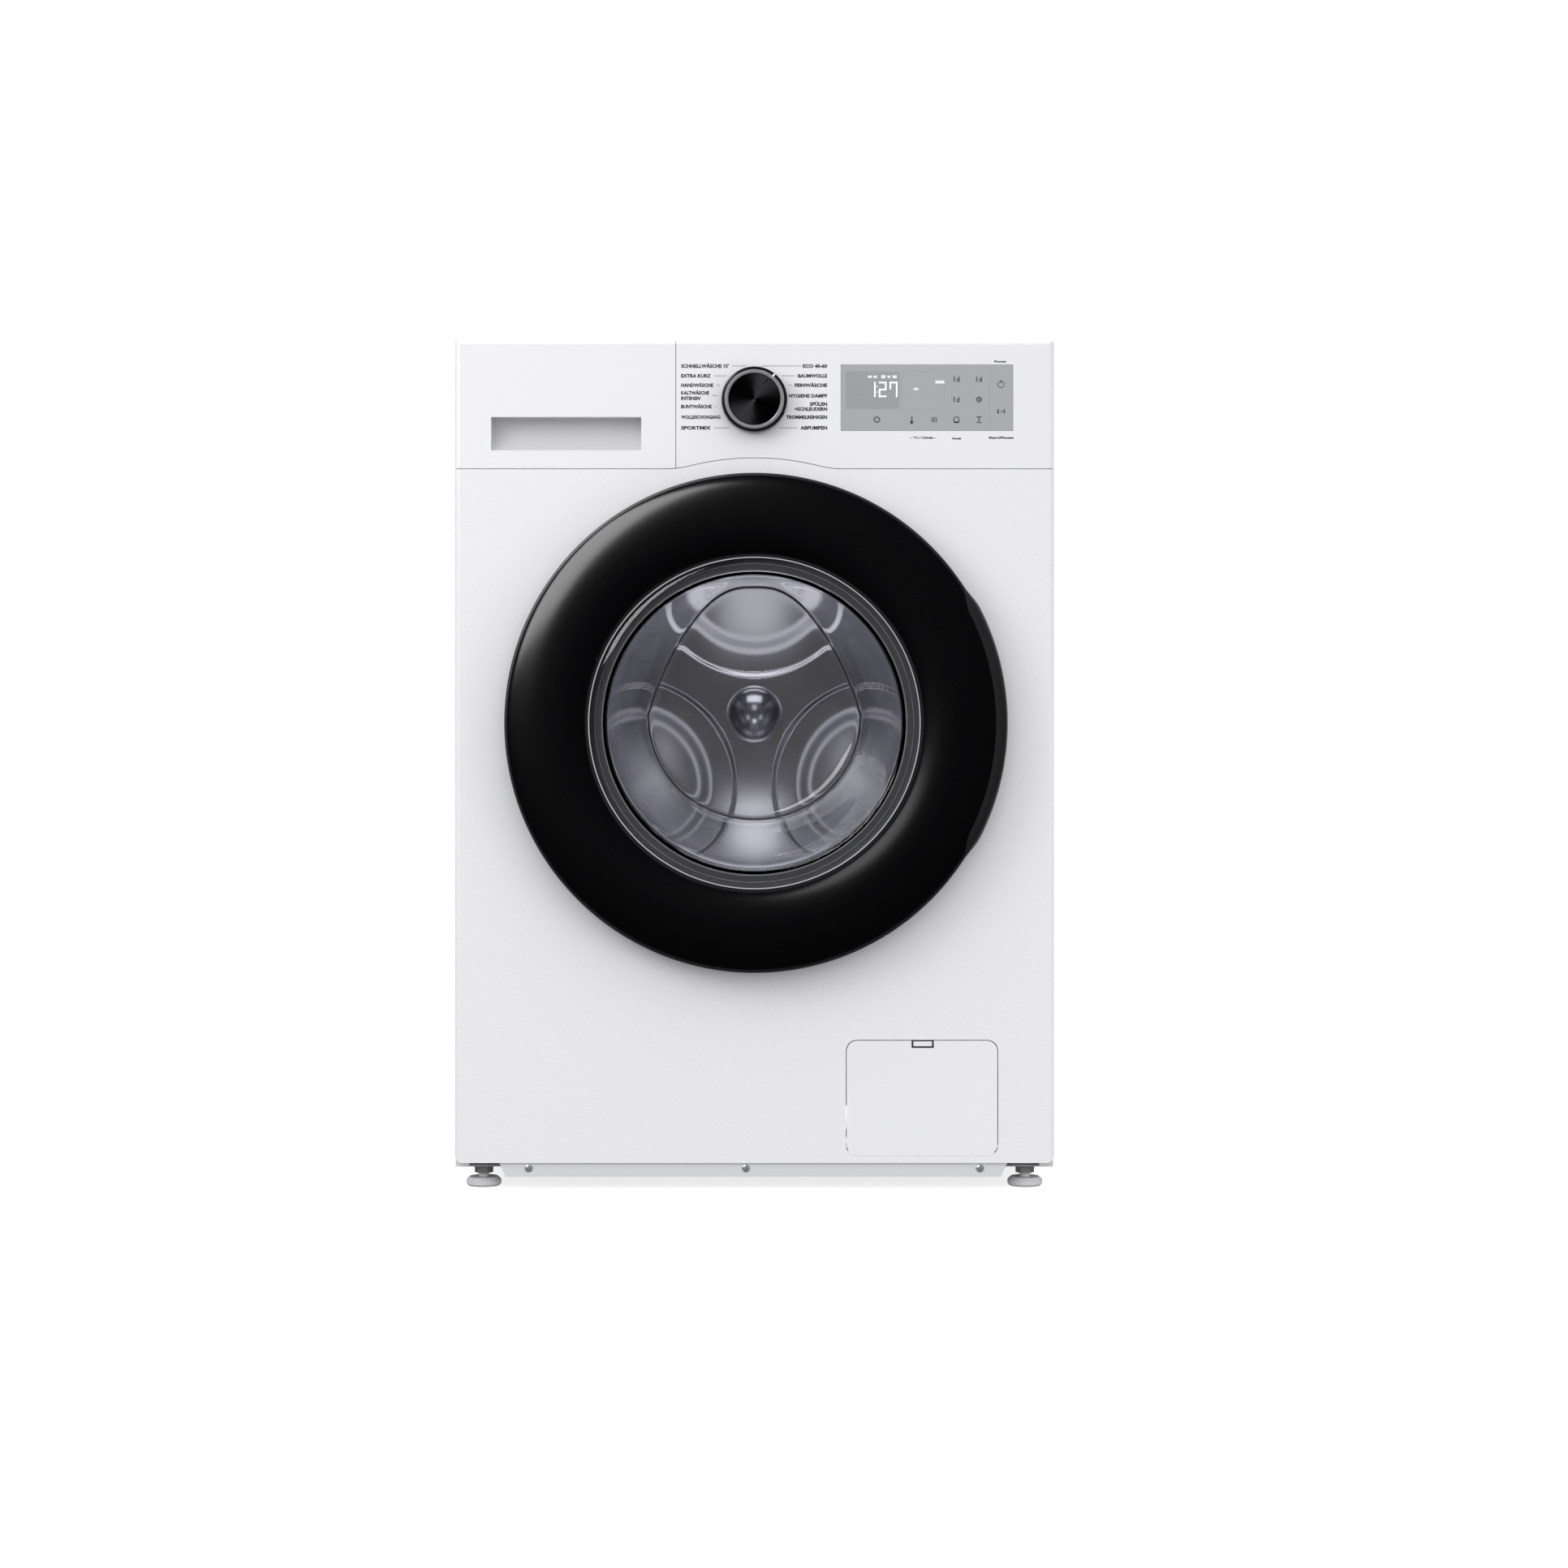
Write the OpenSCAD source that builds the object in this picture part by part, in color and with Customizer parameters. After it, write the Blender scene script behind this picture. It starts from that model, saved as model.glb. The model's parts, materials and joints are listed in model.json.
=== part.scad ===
// Front load washing machine, 600 x 850 x 550 mm, as an assembly of separate pieces.
// Millimetres. X to the viewer's right, Y to the back, Z up; the origin is on the floor under the middle.

/* [Cabinet] */
// overall width
cabinet_width = 600; // [598:1:602]
// overall height over the feet
cabinet_height = 850; // [848:1:852]
// body depth, front panel to back panel
cabinet_depth = 550; // [549:1:551]
// how far the door's crown stands out in front
door_proud = 45; // [44.5:0.5:45.5]
// how far the hose ports stand out at the back
port_proud = 15; // [14:1:16]
// sheet steel thickness
sheet = 1.2; // [1.1:0.1:1.3]
// radius of the upright front edges
edge_radius = 6; // [4:1:8]

/* [Door] */
// height of the door's centre
door_z = 467.5; // [467:0.5:468]
// outer radius of the door
door_radius = 248; // [247.5:0.5:248.5]
// radius of the loading opening in the front panel
port_radius = 165; // [164.5:0.5:165.5]
// radius of the visible glass
glass_radius = 163; // [162.5:0.5:163]
// how far the bowl reaches in behind the front panel
bowl_depth = 105; // [100:1:106]

/* [Front layout] */
// height of the seam under the fascia
fascia_z = 721; // [720.5:0.5:721.5]
// upright seam between the drawer and the fascia
drawer_seam_x = -78.5; // [-79:0.5:-78]
// radius of the fascia's arc over the door
hood_radius = 264.5; // [264:0.5:265]
// radius of the fillets at the arc's feet
hood_fillet = 100; // [95:5:105]
// centre height of the programme knob
knob_z = 789.6; // [788:0.2:791]
// outer radius of the programme knob
knob_radius = 33; // [32.5:0.5:33.5]

/* [Drum and tub] */
// inner radius of the drum
drum_radius = 243; // [242:0.5:243]
// height of the drum's axis
drum_z = 470; // [469.5:0.5:470.5]
// front edge of the drum
drum_front = -165; // [-165.5:0.5:-164.5]
// back of the drum
drum_back_y = 146; // [145.5:0.5:146.5]
// inner radius of the tub
tub_radius = 273; // [272.5:0.5:273.5]
// front of the tub
tub_front_y = -192; // [-192.5:0.5:-191.5]
// back of the tub
tub_back_y = 180; // [179.5:0.5:180.5]
// radius of the drum pulley
pulley_radius = 150; // [148:1:152]
// radius of the motor pulley
motor_pulley_radius = 11; // [10.5:0.5:11.5]
// height of the motor's axis
motor_z = 125; // [124.5:0.5:125.5]

/* [Feet] */
// radius of a foot's disc
foot_radius = 17.5; // [17:0.5:18]
// height of a foot's disc
foot_height = 9; // [8.5:0.5:9]
// feet either side of the middle
foot_x = 273; // [272:1:274]
// axis of the front feet
foot_front_y = -225; // [-226:1:-224]
// axis of the rear feet
foot_rear_y = 250; // [249:1:251]

/* [Hidden] */
$fn = 72;
half_w = cabinet_width / 2;
y_front = -(cabinet_depth + door_proud + port_proud) / 2 + door_proud; // outer face of the front panel
y_back = y_front + cabinet_depth;                                      // outer face of the back panel
y_crown = y_front - door_proud;
y_port = y_back + port_proud;
y_side = y_front + 15;      // seam between the front pieces and the sides
seam = 0.3;                 // half a visible seam
z_low = 21;                 // underside of the base frame
panel_z = 27;               // bottom of the front panel
top_z = 828;                // bottom of the top cover's skirt

hinge_x = -236;
hinge_y = y_front - 24;
latch_x = 211;
// half width of the arc with its fillets
hood_reach = sqrt(pow(hood_radius + hood_fillet, 2) - pow(fascia_z + hood_fillet - door_z, 2));
latch_y = y_front - 10;
pin_r = 4;

drawer_x0 = -half_w;
drawer_x1 = drawer_seam_x - seam;
recess = [-263.4, -113.1, 739.5, 772.9];   // handle recess: x0, x1, z0, z1
scoop_depth = 24;
tray = [-285, -95, 760, 812];              // x0, x1, z0, z1
tray_y0 = y_front + scoop_depth + 2.2;
tray_y1 = 15;
housing_wall = 2.5;

display = [86.5, 258.5, 759.2, 825.1];
flap = [92, 243.2, 34.6, 149.6];
flap_axis = [y_front + 2, 43.6];
flap_notch = [157.1, 179.4, 142.1];
pump_x = 168;
pump_z = 88;
drain_x = 250;
drain_z = 690;
inlet = [-225, 790];
hose_step = 9;                              // half the spacing of the two inlet hoses
gland = [255, 790];
spring_x = 262;
spring_y = 75;
damper_x = 170;
sump = [168, -150];
fill = [-150, -60];
belt_y = [213, 229];
lifter_angles = [30, 150, 270];

white = [0.93, 0.93, 0.92];
dark = [0.05, 0.05, 0.055];
grey = [0.74, 0.75, 0.74];
steel = [0.72, 0.73, 0.74];
zinc = [0.62, 0.63, 0.64];
tubgrey = [0.60, 0.62, 0.63];
rubber = [0.42, 0.43, 0.45];
concrete = [0.52, 0.51, 0.49];

// the piece to draw, or all of them

// ---------- helpers ----------

// box between two corners
module box(x, y, z) {
    translate([x[0], y[0], z[0]]) cube([x[1] - x[0], y[1] - y[0], z[1] - z[0]]);
}

// upright plate: a drawing in X, Z pulled along Y
module plate(y) {
    translate([0, y[1], 0]) rotate([90, 0, 0]) linear_extrude(y[1] - y[0]) children();
}

// turned shape about Y: a drawing in radius, Y
module turned(z, x = 0) {
    translate([x, 0, z]) rotate([-90, 0, 0]) rotate_extrude() children();
}

module rod_y(r, y, x, z) {
    translate([x, y[1], z]) rotate([90, 0, 0]) cylinder(h = y[1] - y[0], r = r);
}

module rod_x(r, x, y, z) {
    translate([x[0], y, z]) rotate([0, 90, 0]) cylinder(h = x[1] - x[0], r = r);
}

module rod_z(r, z, x, y) {
    translate([x, y, z[0]]) cylinder(h = z[1] - z[0], r = r);
}

module tube_y(ro, ri, y, x, z) {
    difference() {
        rod_y(ro, y, x, z);
        rod_y(ri, [y[0] - 1, y[1] + 1], x, z);
    }
}

module tube_z(ro, ri, z, x, y) {
    difference() {
        rod_z(ro, z, x, y);
        rod_z(ri, [z[0] - 1, z[1] + 1], x, y);
    }
}

// rectangle with round corners; b = [x0, x1, z0, z1]
module round_rect(b, r) {
    translate([b[0] + r, b[2]]) square([b[1] - b[0] - 2 * r, b[3] - b[2]]);
    translate([b[0], b[2] + r]) square([b[1] - b[0], b[3] - b[2] - 2 * r]);
    for (x = [b[0] + r, b[1] - r], z = [b[2] + r, b[3] - r]) translate([x, z]) circle(r);
}

// polyline of thickness t with round joints, drawn in 2D
module band(p, t) {
    for (i = [0 : len(p) - 2]) {
        d = p[i + 1] - p[i];
        n = [-d[1], d[0]] / norm(d) * t / 2;
        polygon([p[i] + n, p[i + 1] + n, p[i + 1] - n, p[i] - n]);
        if (i > 0) translate(p[i]) circle(t / 2);
    }
}

// sector of a disc in X, Z about the door's centre, between -a and +a
module sector(a, r) {
    polygon([[0, 0], [r * cos(a), -r * sin(a)], [r * 1.2, 0], [r * cos(a), r * sin(a)]]);
}

module at_door() {
    translate([0, 0, door_z]) children();
}

// ---------- cabinet ----------

module side_panel(s) {
    z = [z_low, top_z - seam];
    function strip(w) = s > 0 ? [half_w - w, half_w] : [-half_w, -half_w + w];
    box(strip(sheet), [y_side + seam, y_back], z);
    box(strip(14), [y_side + seam, y_side + seam + sheet], z);
    box(strip(14), [y_side + seam, y_back - 14], [z[1] - sheet, z[1]]);
    // rear flange the back panel is screwed to
    box(strip(32), [y_back - 2 * sheet - 0.1, y_back - sheet - 0.1], z);
}

module left_side_panel() color(white) side_panel(-1);

module right_side_panel() color(white) side_panel(1);

module back_panel() color(zinc) {
    z1 = top_z - seam;
    difference() {
        box([-half_w + sheet + 0.2, half_w - sheet - 0.2], [y_back - sheet, y_back], [z_low, z1]);
        plate([y_back - 3, y_back + 1]) round_rect([-165, 165, 90, 640], 25);
        rod_y(14.2, [y_back - 3, y_back + 1], inlet[0], inlet[1]);
        rod_y(8.2, [y_back - 3, y_back + 1], gland[0], gland[1]);
        rod_y(12.2, [y_back - 3, y_back + 1], drain_x, drain_z);
        for (x = [-205, 205], z = [340, 600]) rod_y(8, [y_back - 3, y_back + 1], x, z);
        // pressed air slots
        for (i = [0 : 5]) plate([y_back - 3, y_back + 1])
            round_rect([40, 110, 735 + i * 12, 740 + i * 12], 2.4);
    }
}

module rear_covers() color([0.30, 0.31, 0.32]) {
    difference() {
        union() {
            plate([y_back, y_back + 1.5]) round_rect([-175, 175, 80, 650], 32);
            plate([y_back + 1.5, y_back + 7]) round_rect([-160, 160, 96, 634], 22);
        }
        plate([y_back - 1, y_back + 5.5]) round_rect([-157.5, 157.5, 98.5, 631.5], 20);
        for (i = [-3 : 3]) plate([y_back + 4, y_back + 8])
            round_rect([-90, 90, 365 + i * 16 - 3, 365 + i * 16 + 3], 2.9);
    }
    for (x = [-205, 205], z = [340, 600]) {
        rod_y(7.9, [y_back - 4, y_back + 0.1], x, z);
        rod_y(12, [y_back, y_back + 2.5], x, z);
    }
}

// height of the fascia's lower edge at x: an arc over the door, run out into the straight seam by fillets;
// d grows what lies under it
function hood_z(x, d) = abs(x) < hood_reach * hood_radius / (hood_radius + hood_fillet)
    ? door_z + sqrt(pow(hood_radius + d, 2) - x * x)
    : fascia_z + hood_fillet - sqrt(pow(hood_fillet - d, 2) - pow(hood_reach - abs(x), 2));

module hood_outline(d) {
    w = hood_reach - 6;
    polygon(concat([[w, fascia_z - 5], [-w, fascia_z - 5]],
        [for (i = [0 : 60]) let(x = -w + 2 * w * i / 60) [x, hood_z(x, d)]]));
}

module front_panel() color(white) difference() {
    union() {
        // wrapped plate with round upright edges
        intersection() {
            translate([0, 0, panel_z]) linear_extrude(fascia_z - seam - panel_z) intersection() {
                difference() {
                    round_rect([-half_w, half_w, y_front, y_front + 60], edge_radius);
                    round_rect([-half_w + sheet, half_w - sheet, y_front + sheet, y_front + 60],
                        edge_radius - sheet);
                }
                translate([-half_w, y_front]) square([cabinet_width, y_side - y_front]);
            }
            plate([y_front - 1, y_side + 1]) round_rect([-half_w, half_w, panel_z, fascia_z + 20], 8);
        }
        // hood over the door
        plate([y_front, y_front + sheet]) hood_outline(-seam);
        // turned-in port flange
        at_door() tube_y(port_radius + sheet, port_radius, [y_front, y_front + 10], 0, 0);
        // bottom and top stiffening flanges
        box([-half_w + 8, half_w - 8], [y_front, y_side], [panel_z, panel_z + sheet]);
        for (s = [-1, 1]) box([s > 0 ? 120 : -half_w + 8, s > 0 ? half_w - 8 : -120], [y_front, y_side],
            [fascia_z - seam - sheet, fascia_z - seam]);
        // lugs that hold the flap's pins
        for (x = [[flap[0] - 9, flap[0] - 1.2], [flap[1] + 1.2, flap[1] + 9]])
            box(x, [y_front + sheet - 0.1, y_front + 8], [flap_axis[1] - 4, flap_axis[1] + 6]);
    }
    rod_y(port_radius, [y_front - 1, y_front + 20], 0, door_z);
    plate([y_front - 1, y_front + sheet + 0.01])
        round_rect([flap[0] - 0.5, flap[1] + 0.5, flap[2] - 0.5, flap[3] + 0.5], 11);
    rod_x(1.56, [flap[0] - 7, flap[1] + 7], flap_axis[0], flap_axis[1]);
    // latch slot
    box([latch_x - 13, latch_x + 16], [y_front - 1, y_front + 4], [door_z - 9, door_z + 9]);
}

module top_cover() color(white) difference() {
    translate([0, 0, top_z]) linear_extrude(cabinet_height - top_z) square_sides();
    translate([0, 0, top_z - 1]) linear_extrude(cabinet_height - top_z - 2) square_inner();
    // rounded long edges
    for (s = [-1, 1]) difference() {
        box([s > 0 ? half_w - 4 : -half_w - 1, s > 0 ? half_w + 1 : -half_w + 4], [y_side - 1, y_back + 1],
            [cabinet_height - 4, cabinet_height + 1]);
        rod_y(4, [y_side - 2, y_back + 2], s * (half_w - 4), cabinet_height - 4);
    }
}

module square_sides() translate([-half_w, y_side + seam]) square([cabinet_width, y_back - y_side - seam]);

module square_inner() translate([-half_w + 3, y_side + seam + 3])
    square([cabinet_width - 6, y_back - y_side - seam - 6]);

// a fascia strip between two X stations, wrapped to the sides where it meets one
module fascia_shell(x0, x1) {
    t = 2.5;
    intersection() {
        difference() {
            translate([0, 0, fascia_z + seam]) linear_extrude(cabinet_height - fascia_z - seam)
                round_rect([-half_w, half_w, y_front, y_front + 60], edge_radius);
            translate([0, 0, fascia_z - 1]) linear_extrude(cabinet_height - fascia_z + 1 - t)
                round_rect([-half_w + t, half_w - t, y_front + t, y_front + 80], edge_radius - t);
            // rounded top front edge
            difference() {
                box([-half_w - 1, half_w + 1], [y_front - 1, y_front + 4.5],
                    [cabinet_height - 4.5, cabinet_height + 1]);
                rod_x(4.5, [-half_w - 2, half_w + 2], y_front + 4.5, cabinet_height - 4.5);
            }
            for (s = [-1, 1]) difference() {
                box([s > 0 ? half_w - 4 : -half_w - 1, s > 0 ? half_w + 1 : -half_w + 4],
                    [y_front - 1, y_side + 1], [cabinet_height - 4, cabinet_height + 1]);
                rod_y(4, [y_front - 2, y_side + 2], s * (half_w - 4), cabinet_height - 4);
            }
        }
        box([x0, x1], [y_front - 1, y_side], [fascia_z, cabinet_height + 1]);
    }
}

module control_fascia() color(white) difference() {
    union() {
        fascia_shell(drawer_seam_x + seam, half_w);
        // board carrier behind the knob and the display
        box([-60, 280], [y_front + 2.4, y_side], [fascia_z + 16, fascia_z + 18.5]);
        rod_y(9, [y_front + 2, y_side + 4], 0, knob_z);
    }
    plate([y_front - 1, y_front + 20]) hood_outline(seam);
    rod_y(4.06, [y_front - 1, y_front + 40], 0, knob_z);
    plate([y_front - 1, y_front + 14.6])
        square_of([display[0] - 0.2, display[1] + 0.2, display[2] - 0.2, display[3] + 0.2]);
}

module square_of(b) translate([b[0], b[2]]) square([b[1] - b[0], b[3] - b[2]]);

module display_window() color([0.35, 0.36, 0.38]) {
    plate([y_front - 0.2, y_front + 2.3]) round_rect(display, 1);
    plate([y_front + 2.3, y_front + 9])
        square_of([display[0] + 3, display[1] - 3, display[2] + 3, display[3] - 3]);
}

module base_frame() color(zinc) difference() {
    union() {
        for (s = [-1, 1]) {
            x0 = s > 0 ? half_w - 52 : -half_w + sheet + 0.3;
            x1 = s > 0 ? half_w - sheet - 0.3 : -half_w + 52;
            box([x0, x1], [y_side + 3, y_back - 14], [z_low, z_low + 2]);
            box([s > 0 ? x0 : x1 - 2, s > 0 ? x0 + 2 : x1], [y_side + 3, y_back - 14], [z_low, 45]);
        }
        for (y = [[y_side + 3, y_side + 40], [-128, -92], [-26, 26], [y_back - 52, y_back - 14]])
            box([-half_w + sheet + 0.3, half_w - sheet - 0.3], y, [z_low, z_low + 2]);
        for (x = [-foot_x, foot_x], y = [foot_front_y, foot_rear_y]) rod_z(10, [z_low, 45], x, y);
    }
    for (x = [-foot_x, foot_x], y = [foot_front_y, foot_rear_y]) rod_z(5.06, [z_low - 1, 46], x, y);
}

module front_rail() color(grey) difference() {
    union() {
        plate([y_front + 2, y_front + 3.5])
            polygon([[-255, panel_z - seam], [252.7, panel_z - seam], [246.7, 13], [-249, 13]]);
        box([-249, 246.7], [y_front + 2, y_side + 2], [13, 14.5]);
        box([-255, 252.7], [y_front + 2, y_side + 2], [panel_z - seam - 1.5, panel_z - seam]);
    }
    for (x = [-225.8, -8.5, 225.6]) rod_y(2.2, [y_front, y_front + 5], x, 21.7);
}

module fasteners() color(zinc) {
    // three rail screws with domed heads
    for (x = [-225.8, -8.5, 225.6]) {
        rod_y(2.1, [y_front + 1.9, y_front + 14], x, 21.7);
        difference() {
            turned(21.7,
                x) polygon([[0, y_front - 0.2], [2.2, y_front + 0.1], [3.8, y_front + 1.2],
                [4, y_front + 2], [0, y_front + 2]]);
            for (a = [0, 90]) translate([x, 0, 21.7]) rotate([0, a, 0])
                box([-2.4, 2.4], [y_front - 1, y_front + 0.9], [-0.45, 0.45]);
        }
    }
    // lock nuts on the four feet
    for (x = [-foot_x, foot_x], y = [foot_front_y, foot_rear_y]) difference() {
        union() {
            translate([x, y, 13]) linear_extrude(6) hexagon(9.4);
            rod_z(11, [19, z_low], x, y);
        }
        rod_z(5.06, [12, 22], x, y);
    }
    // screws round the back panel's edge
    for (z = [60, 250, 440, 640, 800], s = [-1, 1]) turned(z, s * (half_w - 22))
        polygon([[0, y_back], [4, y_back], [3.6, y_back + 1.4], [1.8, y_back + 2.1], [0, y_back + 2.2]]);
}

module hexagon(r) polygon([for (i = [0 : 5]) [r * cos(60 * i), r * sin(60 * i)]]);

module spring_crossbar() color(zinc) {
    w = half_w - sheet - 0.4;
    difference() {
        union() {
            box([-w, w], [spring_y - 12, spring_y + 12], [806, 822]);
            for (s = [-1, 1]) box([s * spring_x - 3, s * spring_x + 3], [spring_y - 7, spring_y + 7],
                [788, 807]);
        }
        box([-w - 1, w + 1], [spring_y - 10, spring_y + 10], [804, 820]);
        for (s = [-1, 1]) rod_x(3.2, [s * spring_x - 5, s * spring_x + 5], spring_y, 793.5);
    }
    for (s = [-1, 1]) box([s * spring_x - 3, s * spring_x + 3], [spring_y - 10, spring_y + 10], [801, 807]);
    // front tie bar, between the dispenser and the right side
    difference() {
        box([-w, w], [-196, -176], [821.5, 826]);
        box([-w - 1, w + 1], [-194, -178], [820, 824]);
    }
}

module dispenser_housing() color(white) {
    x0 = tray[0] - 5;
    x1 = tray[1] + 6;
    y0 = y_front + 28;
    y1 = 40;
    z0 = 756;
    z1 = 820;
    w = housing_wall;
    difference() {
        union() {
            box([x0, x1], [y0, y1], [z0, z1]);
            rod_z(18, [744, z0 + 1], fill[0], fill[1]);
            for (x = [inlet[0] - hose_step, inlet[0] + hose_step]) rod_y(6, [y1 - 1, y1 + 14], x, 790);
        }
        box([x0 + w, x1 - w], [y0 - 1, y1 - w], [z0 + w, z1 - w]);
        rod_z(15.5, [743, z0 + w + 1], fill[0], fill[1]);
        for (x = [inlet[0] - hose_step, inlet[0] + hose_step]) rod_y(4, [y1 - w - 1, y1 + 15], x, 790);
    }
}

module inlet_valve() color([0.86, 0.87, 0.88]) {
    difference() {
        union() {
            rod_y(13.2, [y_back - 2, y_port], inlet[0], inlet[1]);
            box([inlet[0] - 22, inlet[0] + 22], [y_back - 16, y_back - sheet],
                [inlet[1] - 20, inlet[1] + 20]);
            box([inlet[0] - 26, inlet[0] + 26], [y_back - 52, y_back - 16], [inlet[1] - 12, inlet[1] + 12]);
            for (s = [-1, 1]) {
                rod_z(11, [inlet[1] + 11, inlet[1] + 34], inlet[0] + s * 13, y_back - 34);
                rod_y(6, [200, y_back - 50], inlet[0] + s * hose_step, 790);
            }
        }
        rod_y(9.5, [y_back - 8, y_port + 1], inlet[0], inlet[1]);
        for (s = [-1, 1]) rod_y(4, [199, y_back - 45], inlet[0] + s * hose_step, 790);
    }
    // hoses to the dispenser
    for (s = [-1, 1]) difference() {
        rod_y(8.5, [42, 212], inlet[0] + s * hose_step, 790);
        rod_y(6.1, [41, 213], inlet[0] + s * hose_step, 790);
    }
}

module control_box() color([0.20, 0.22, 0.25]) {
    difference() {
        box([150, 285], [95, 275], [762, 818]);
        box([152.5, 282.5], [97.5, 272.5], [764.5, 819]);
    }
    box([148, 287], [93, 277], [818, 820.5]);
    for (i = [0 : 7]) box([160 + 15 * i, 168 + 15 * i], [110, 260], [758, 762]);
}

module mains_gland() color(dark) difference() {
    union() {
        rod_y(8, [y_back - 8, y_back + 1], gland[0], gland[1]);
        rod_y(12, [y_back, y_back + 3], gland[0], gland[1]);
        rod_y(7, [y_back + 2, y_back + 10], gland[0], gland[1]);
        rod_y(11, [y_back - 12, y_back - sheet], gland[0], gland[1]);
    }
    rod_y(3.6, [y_back - 13, y_back + 11], gland[0], gland[1]);
}

module drain_pump() color([0.32, 0.34, 0.36]) {
    translate([pump_x, 0, pump_z]) difference() {
        union() {
            rod_y(30, [y_front + 20, -130], 0, 0);                  // filter housing
            rod_y(36, [y_front + 26, y_front + 30], 0, 0);          // front collar
            rod_y(38, [-134, -92], 0, 0);                            // volute
            rod_y(28, [-92, -44], 0, 0);                             // pump motor
            rod_x(10.5, [30, 58], -112, 0);                          // outlet
            rod_z(20, [25, 78], 0, sump[1]);                         // inlet from the tub
            box([-30, 30], [-126, -94], [z_low + 2 - pump_z, -20]);  // foot
        }
        rod_y(25, [y_front + 19, -133], 0, 0);
        rod_y(34, [-131, -101], 0, 0);
        rod_y(20, [-134, -130], 0, 0);
        rod_y(3.05, [-102, -80], 0, 0);
        rod_x(8, [30, 59], -112, 0);
        rod_z(17, [20, 79], 0, sump[1]);
        box([-14, 14], [-124, -96], [-80, -42]);
    }
}

module drain_route(r) {
    rod_x(r, [pump_x + 42, drain_x], -112, pump_z);
    translate([drain_x, -112, pump_z]) sphere(r);
    rod_y(r, [-112, 262], drain_x, pump_z);
    translate([drain_x, 262, pump_z]) sphere(r);
    rod_z(r, [pump_z, drain_z], drain_x, 262);
    translate([drain_x, 262, drain_z]) sphere(r);
    rod_y(r, [262, y_back - 2], drain_x, drain_z);
}

module drain_pipe() color([0.55, 0.56, 0.58]) difference() {
    union() {
        drain_route(12.8);
        rod_y(12, [y_back - 4, y_back + 1], drain_x, drain_z);
        rod_y(15, [y_back, y_back + 2], drain_x, drain_z);
        rod_y(10.5, [y_back + 1, y_port], drain_x, drain_z);
    }
    drain_route(10.6);
    rod_x(10.6, [pump_x + 40, pump_x + 60], -112, pump_z);
    rod_y(8, [262, y_port + 1], drain_x, drain_z);
}

module door_lock() color(dark) difference() {
    union() {
        box([latch_x - 20, latch_x + 24], [y_front + sheet, y_front + 34], [door_z - 26, door_z + 26]);
        box([latch_x - 20, latch_x + 24], [y_front + sheet, y_front + 5], [door_z - 36, door_z + 36]);
    }
    box([latch_x - 14, latch_x + 17], [y_front, y_front + 31], [door_z - 10, door_z + 10]);
    for (z = [-31, 31]) rod_y(2.2, [y_front, y_front + 6], latch_x + 2, door_z + z);
}

module hinge_bracket() color(zinc) difference() {
    union() {
        // plate screwed to the front panel
        plate([y_front - 2, y_front]) round_rect([hinge_x + 12, hinge_x + 44, door_z - 62, door_z + 62], 5);
        // two arms that carry the pin
        for (z = [-37, 33]) translate([hinge_x, hinge_y, door_z + z]) linear_extrude(4) {
            circle(7.5);
            polygon([[-6.8, 3.1], [5.5, -5.1], [28, 21], [28, 23], [12, 23]]);
        }
    }
    translate([hinge_x, hinge_y, door_z]) rod_z(pin_r + 0.05, [-40, 40], 0, 0);
    for (z = [-50, 0, 50]) rod_y(2.5, [y_front - 3, y_front + 1], hinge_x + 30, door_z + z);
}

module damper_cylinders() color([0.30, 0.32, 0.34]) for (x = [-damper_x, damper_x]) difference() {
    union() {
        rod_z(17, [z_low + 8, 150], x, 0);
        rod_z(19, [138, 152], x, 0);
        box([x - 12, x + 12], [-15, 15], [z_low + 2, z_low + 12]);
    }
    rod_z(8.4, [z_low + 14, 153], x, 0);
}

// ---------- door ----------

// space the bracket's arms sweep as the door turns
module hinge_pockets() for (z = [-38.5, 31.5]) translate([hinge_x, hinge_y, door_z + z]) {
    intersection() {
        cylinder(h = 7, r = 38);
        translate([-50, -5.5, 0]) cube([100, 60, 7]);
    }
    cylinder(h = 7, r = 9);
}

// finger space behind the grip
module grip_pocket() at_door() intersection() {
    tube_y(270, 227.5, [y_front - 21, y_front], 0, 0);
    plate([y_front - 30, y_front]) sector(25, 300);
}

module door_rim() color(dark) difference() {
    union() {
        turned(door_z)
            polygon([[245.3, y_front - 31], [246.6, y_front - 31], [door_radius, y_front - 29.5],
            [door_radius, y_front - 8], [door_radius - 4, y_front - 4], [243.5, y_front - 4],
            [243.5, y_front - 28.5], [238, y_front - 28.5], [238, y_front - 30.6],
            [245.3, y_front - 30.6]]);
        // wider band with a bulge at the grip
        intersection() {
            turned(door_z)
                polygon([[238.9, y_front - 36.4], [243, y_front - 35], [248, y_front - 32.6],
                [251.3, y_front - 29.5], [251.3, y_front - 22], [238.9, y_front - 22]]);
            at_door() plate([y_crown, y_front]) sector(30, 300);
        }
        // floor and wall of the grip's finger space
        intersection() {
            union() {
                turned(door_z) square_of([225.3, 249, y_front - 23, y_front - 21]);
                turned(door_z) square_of([225.3, 227.5, y_front - 23, y_front - 6.7]);
            }
            at_door() plate([y_crown, y_front]) sector(25.6, 300);
        }
    }
    grip_pocket();
    hinge_pockets();
    // room for the hinge leaf's knuckle
    rod_z(6.8, [door_z - 31.2, door_z + 31.2], hinge_x, hinge_y);
}

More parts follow.
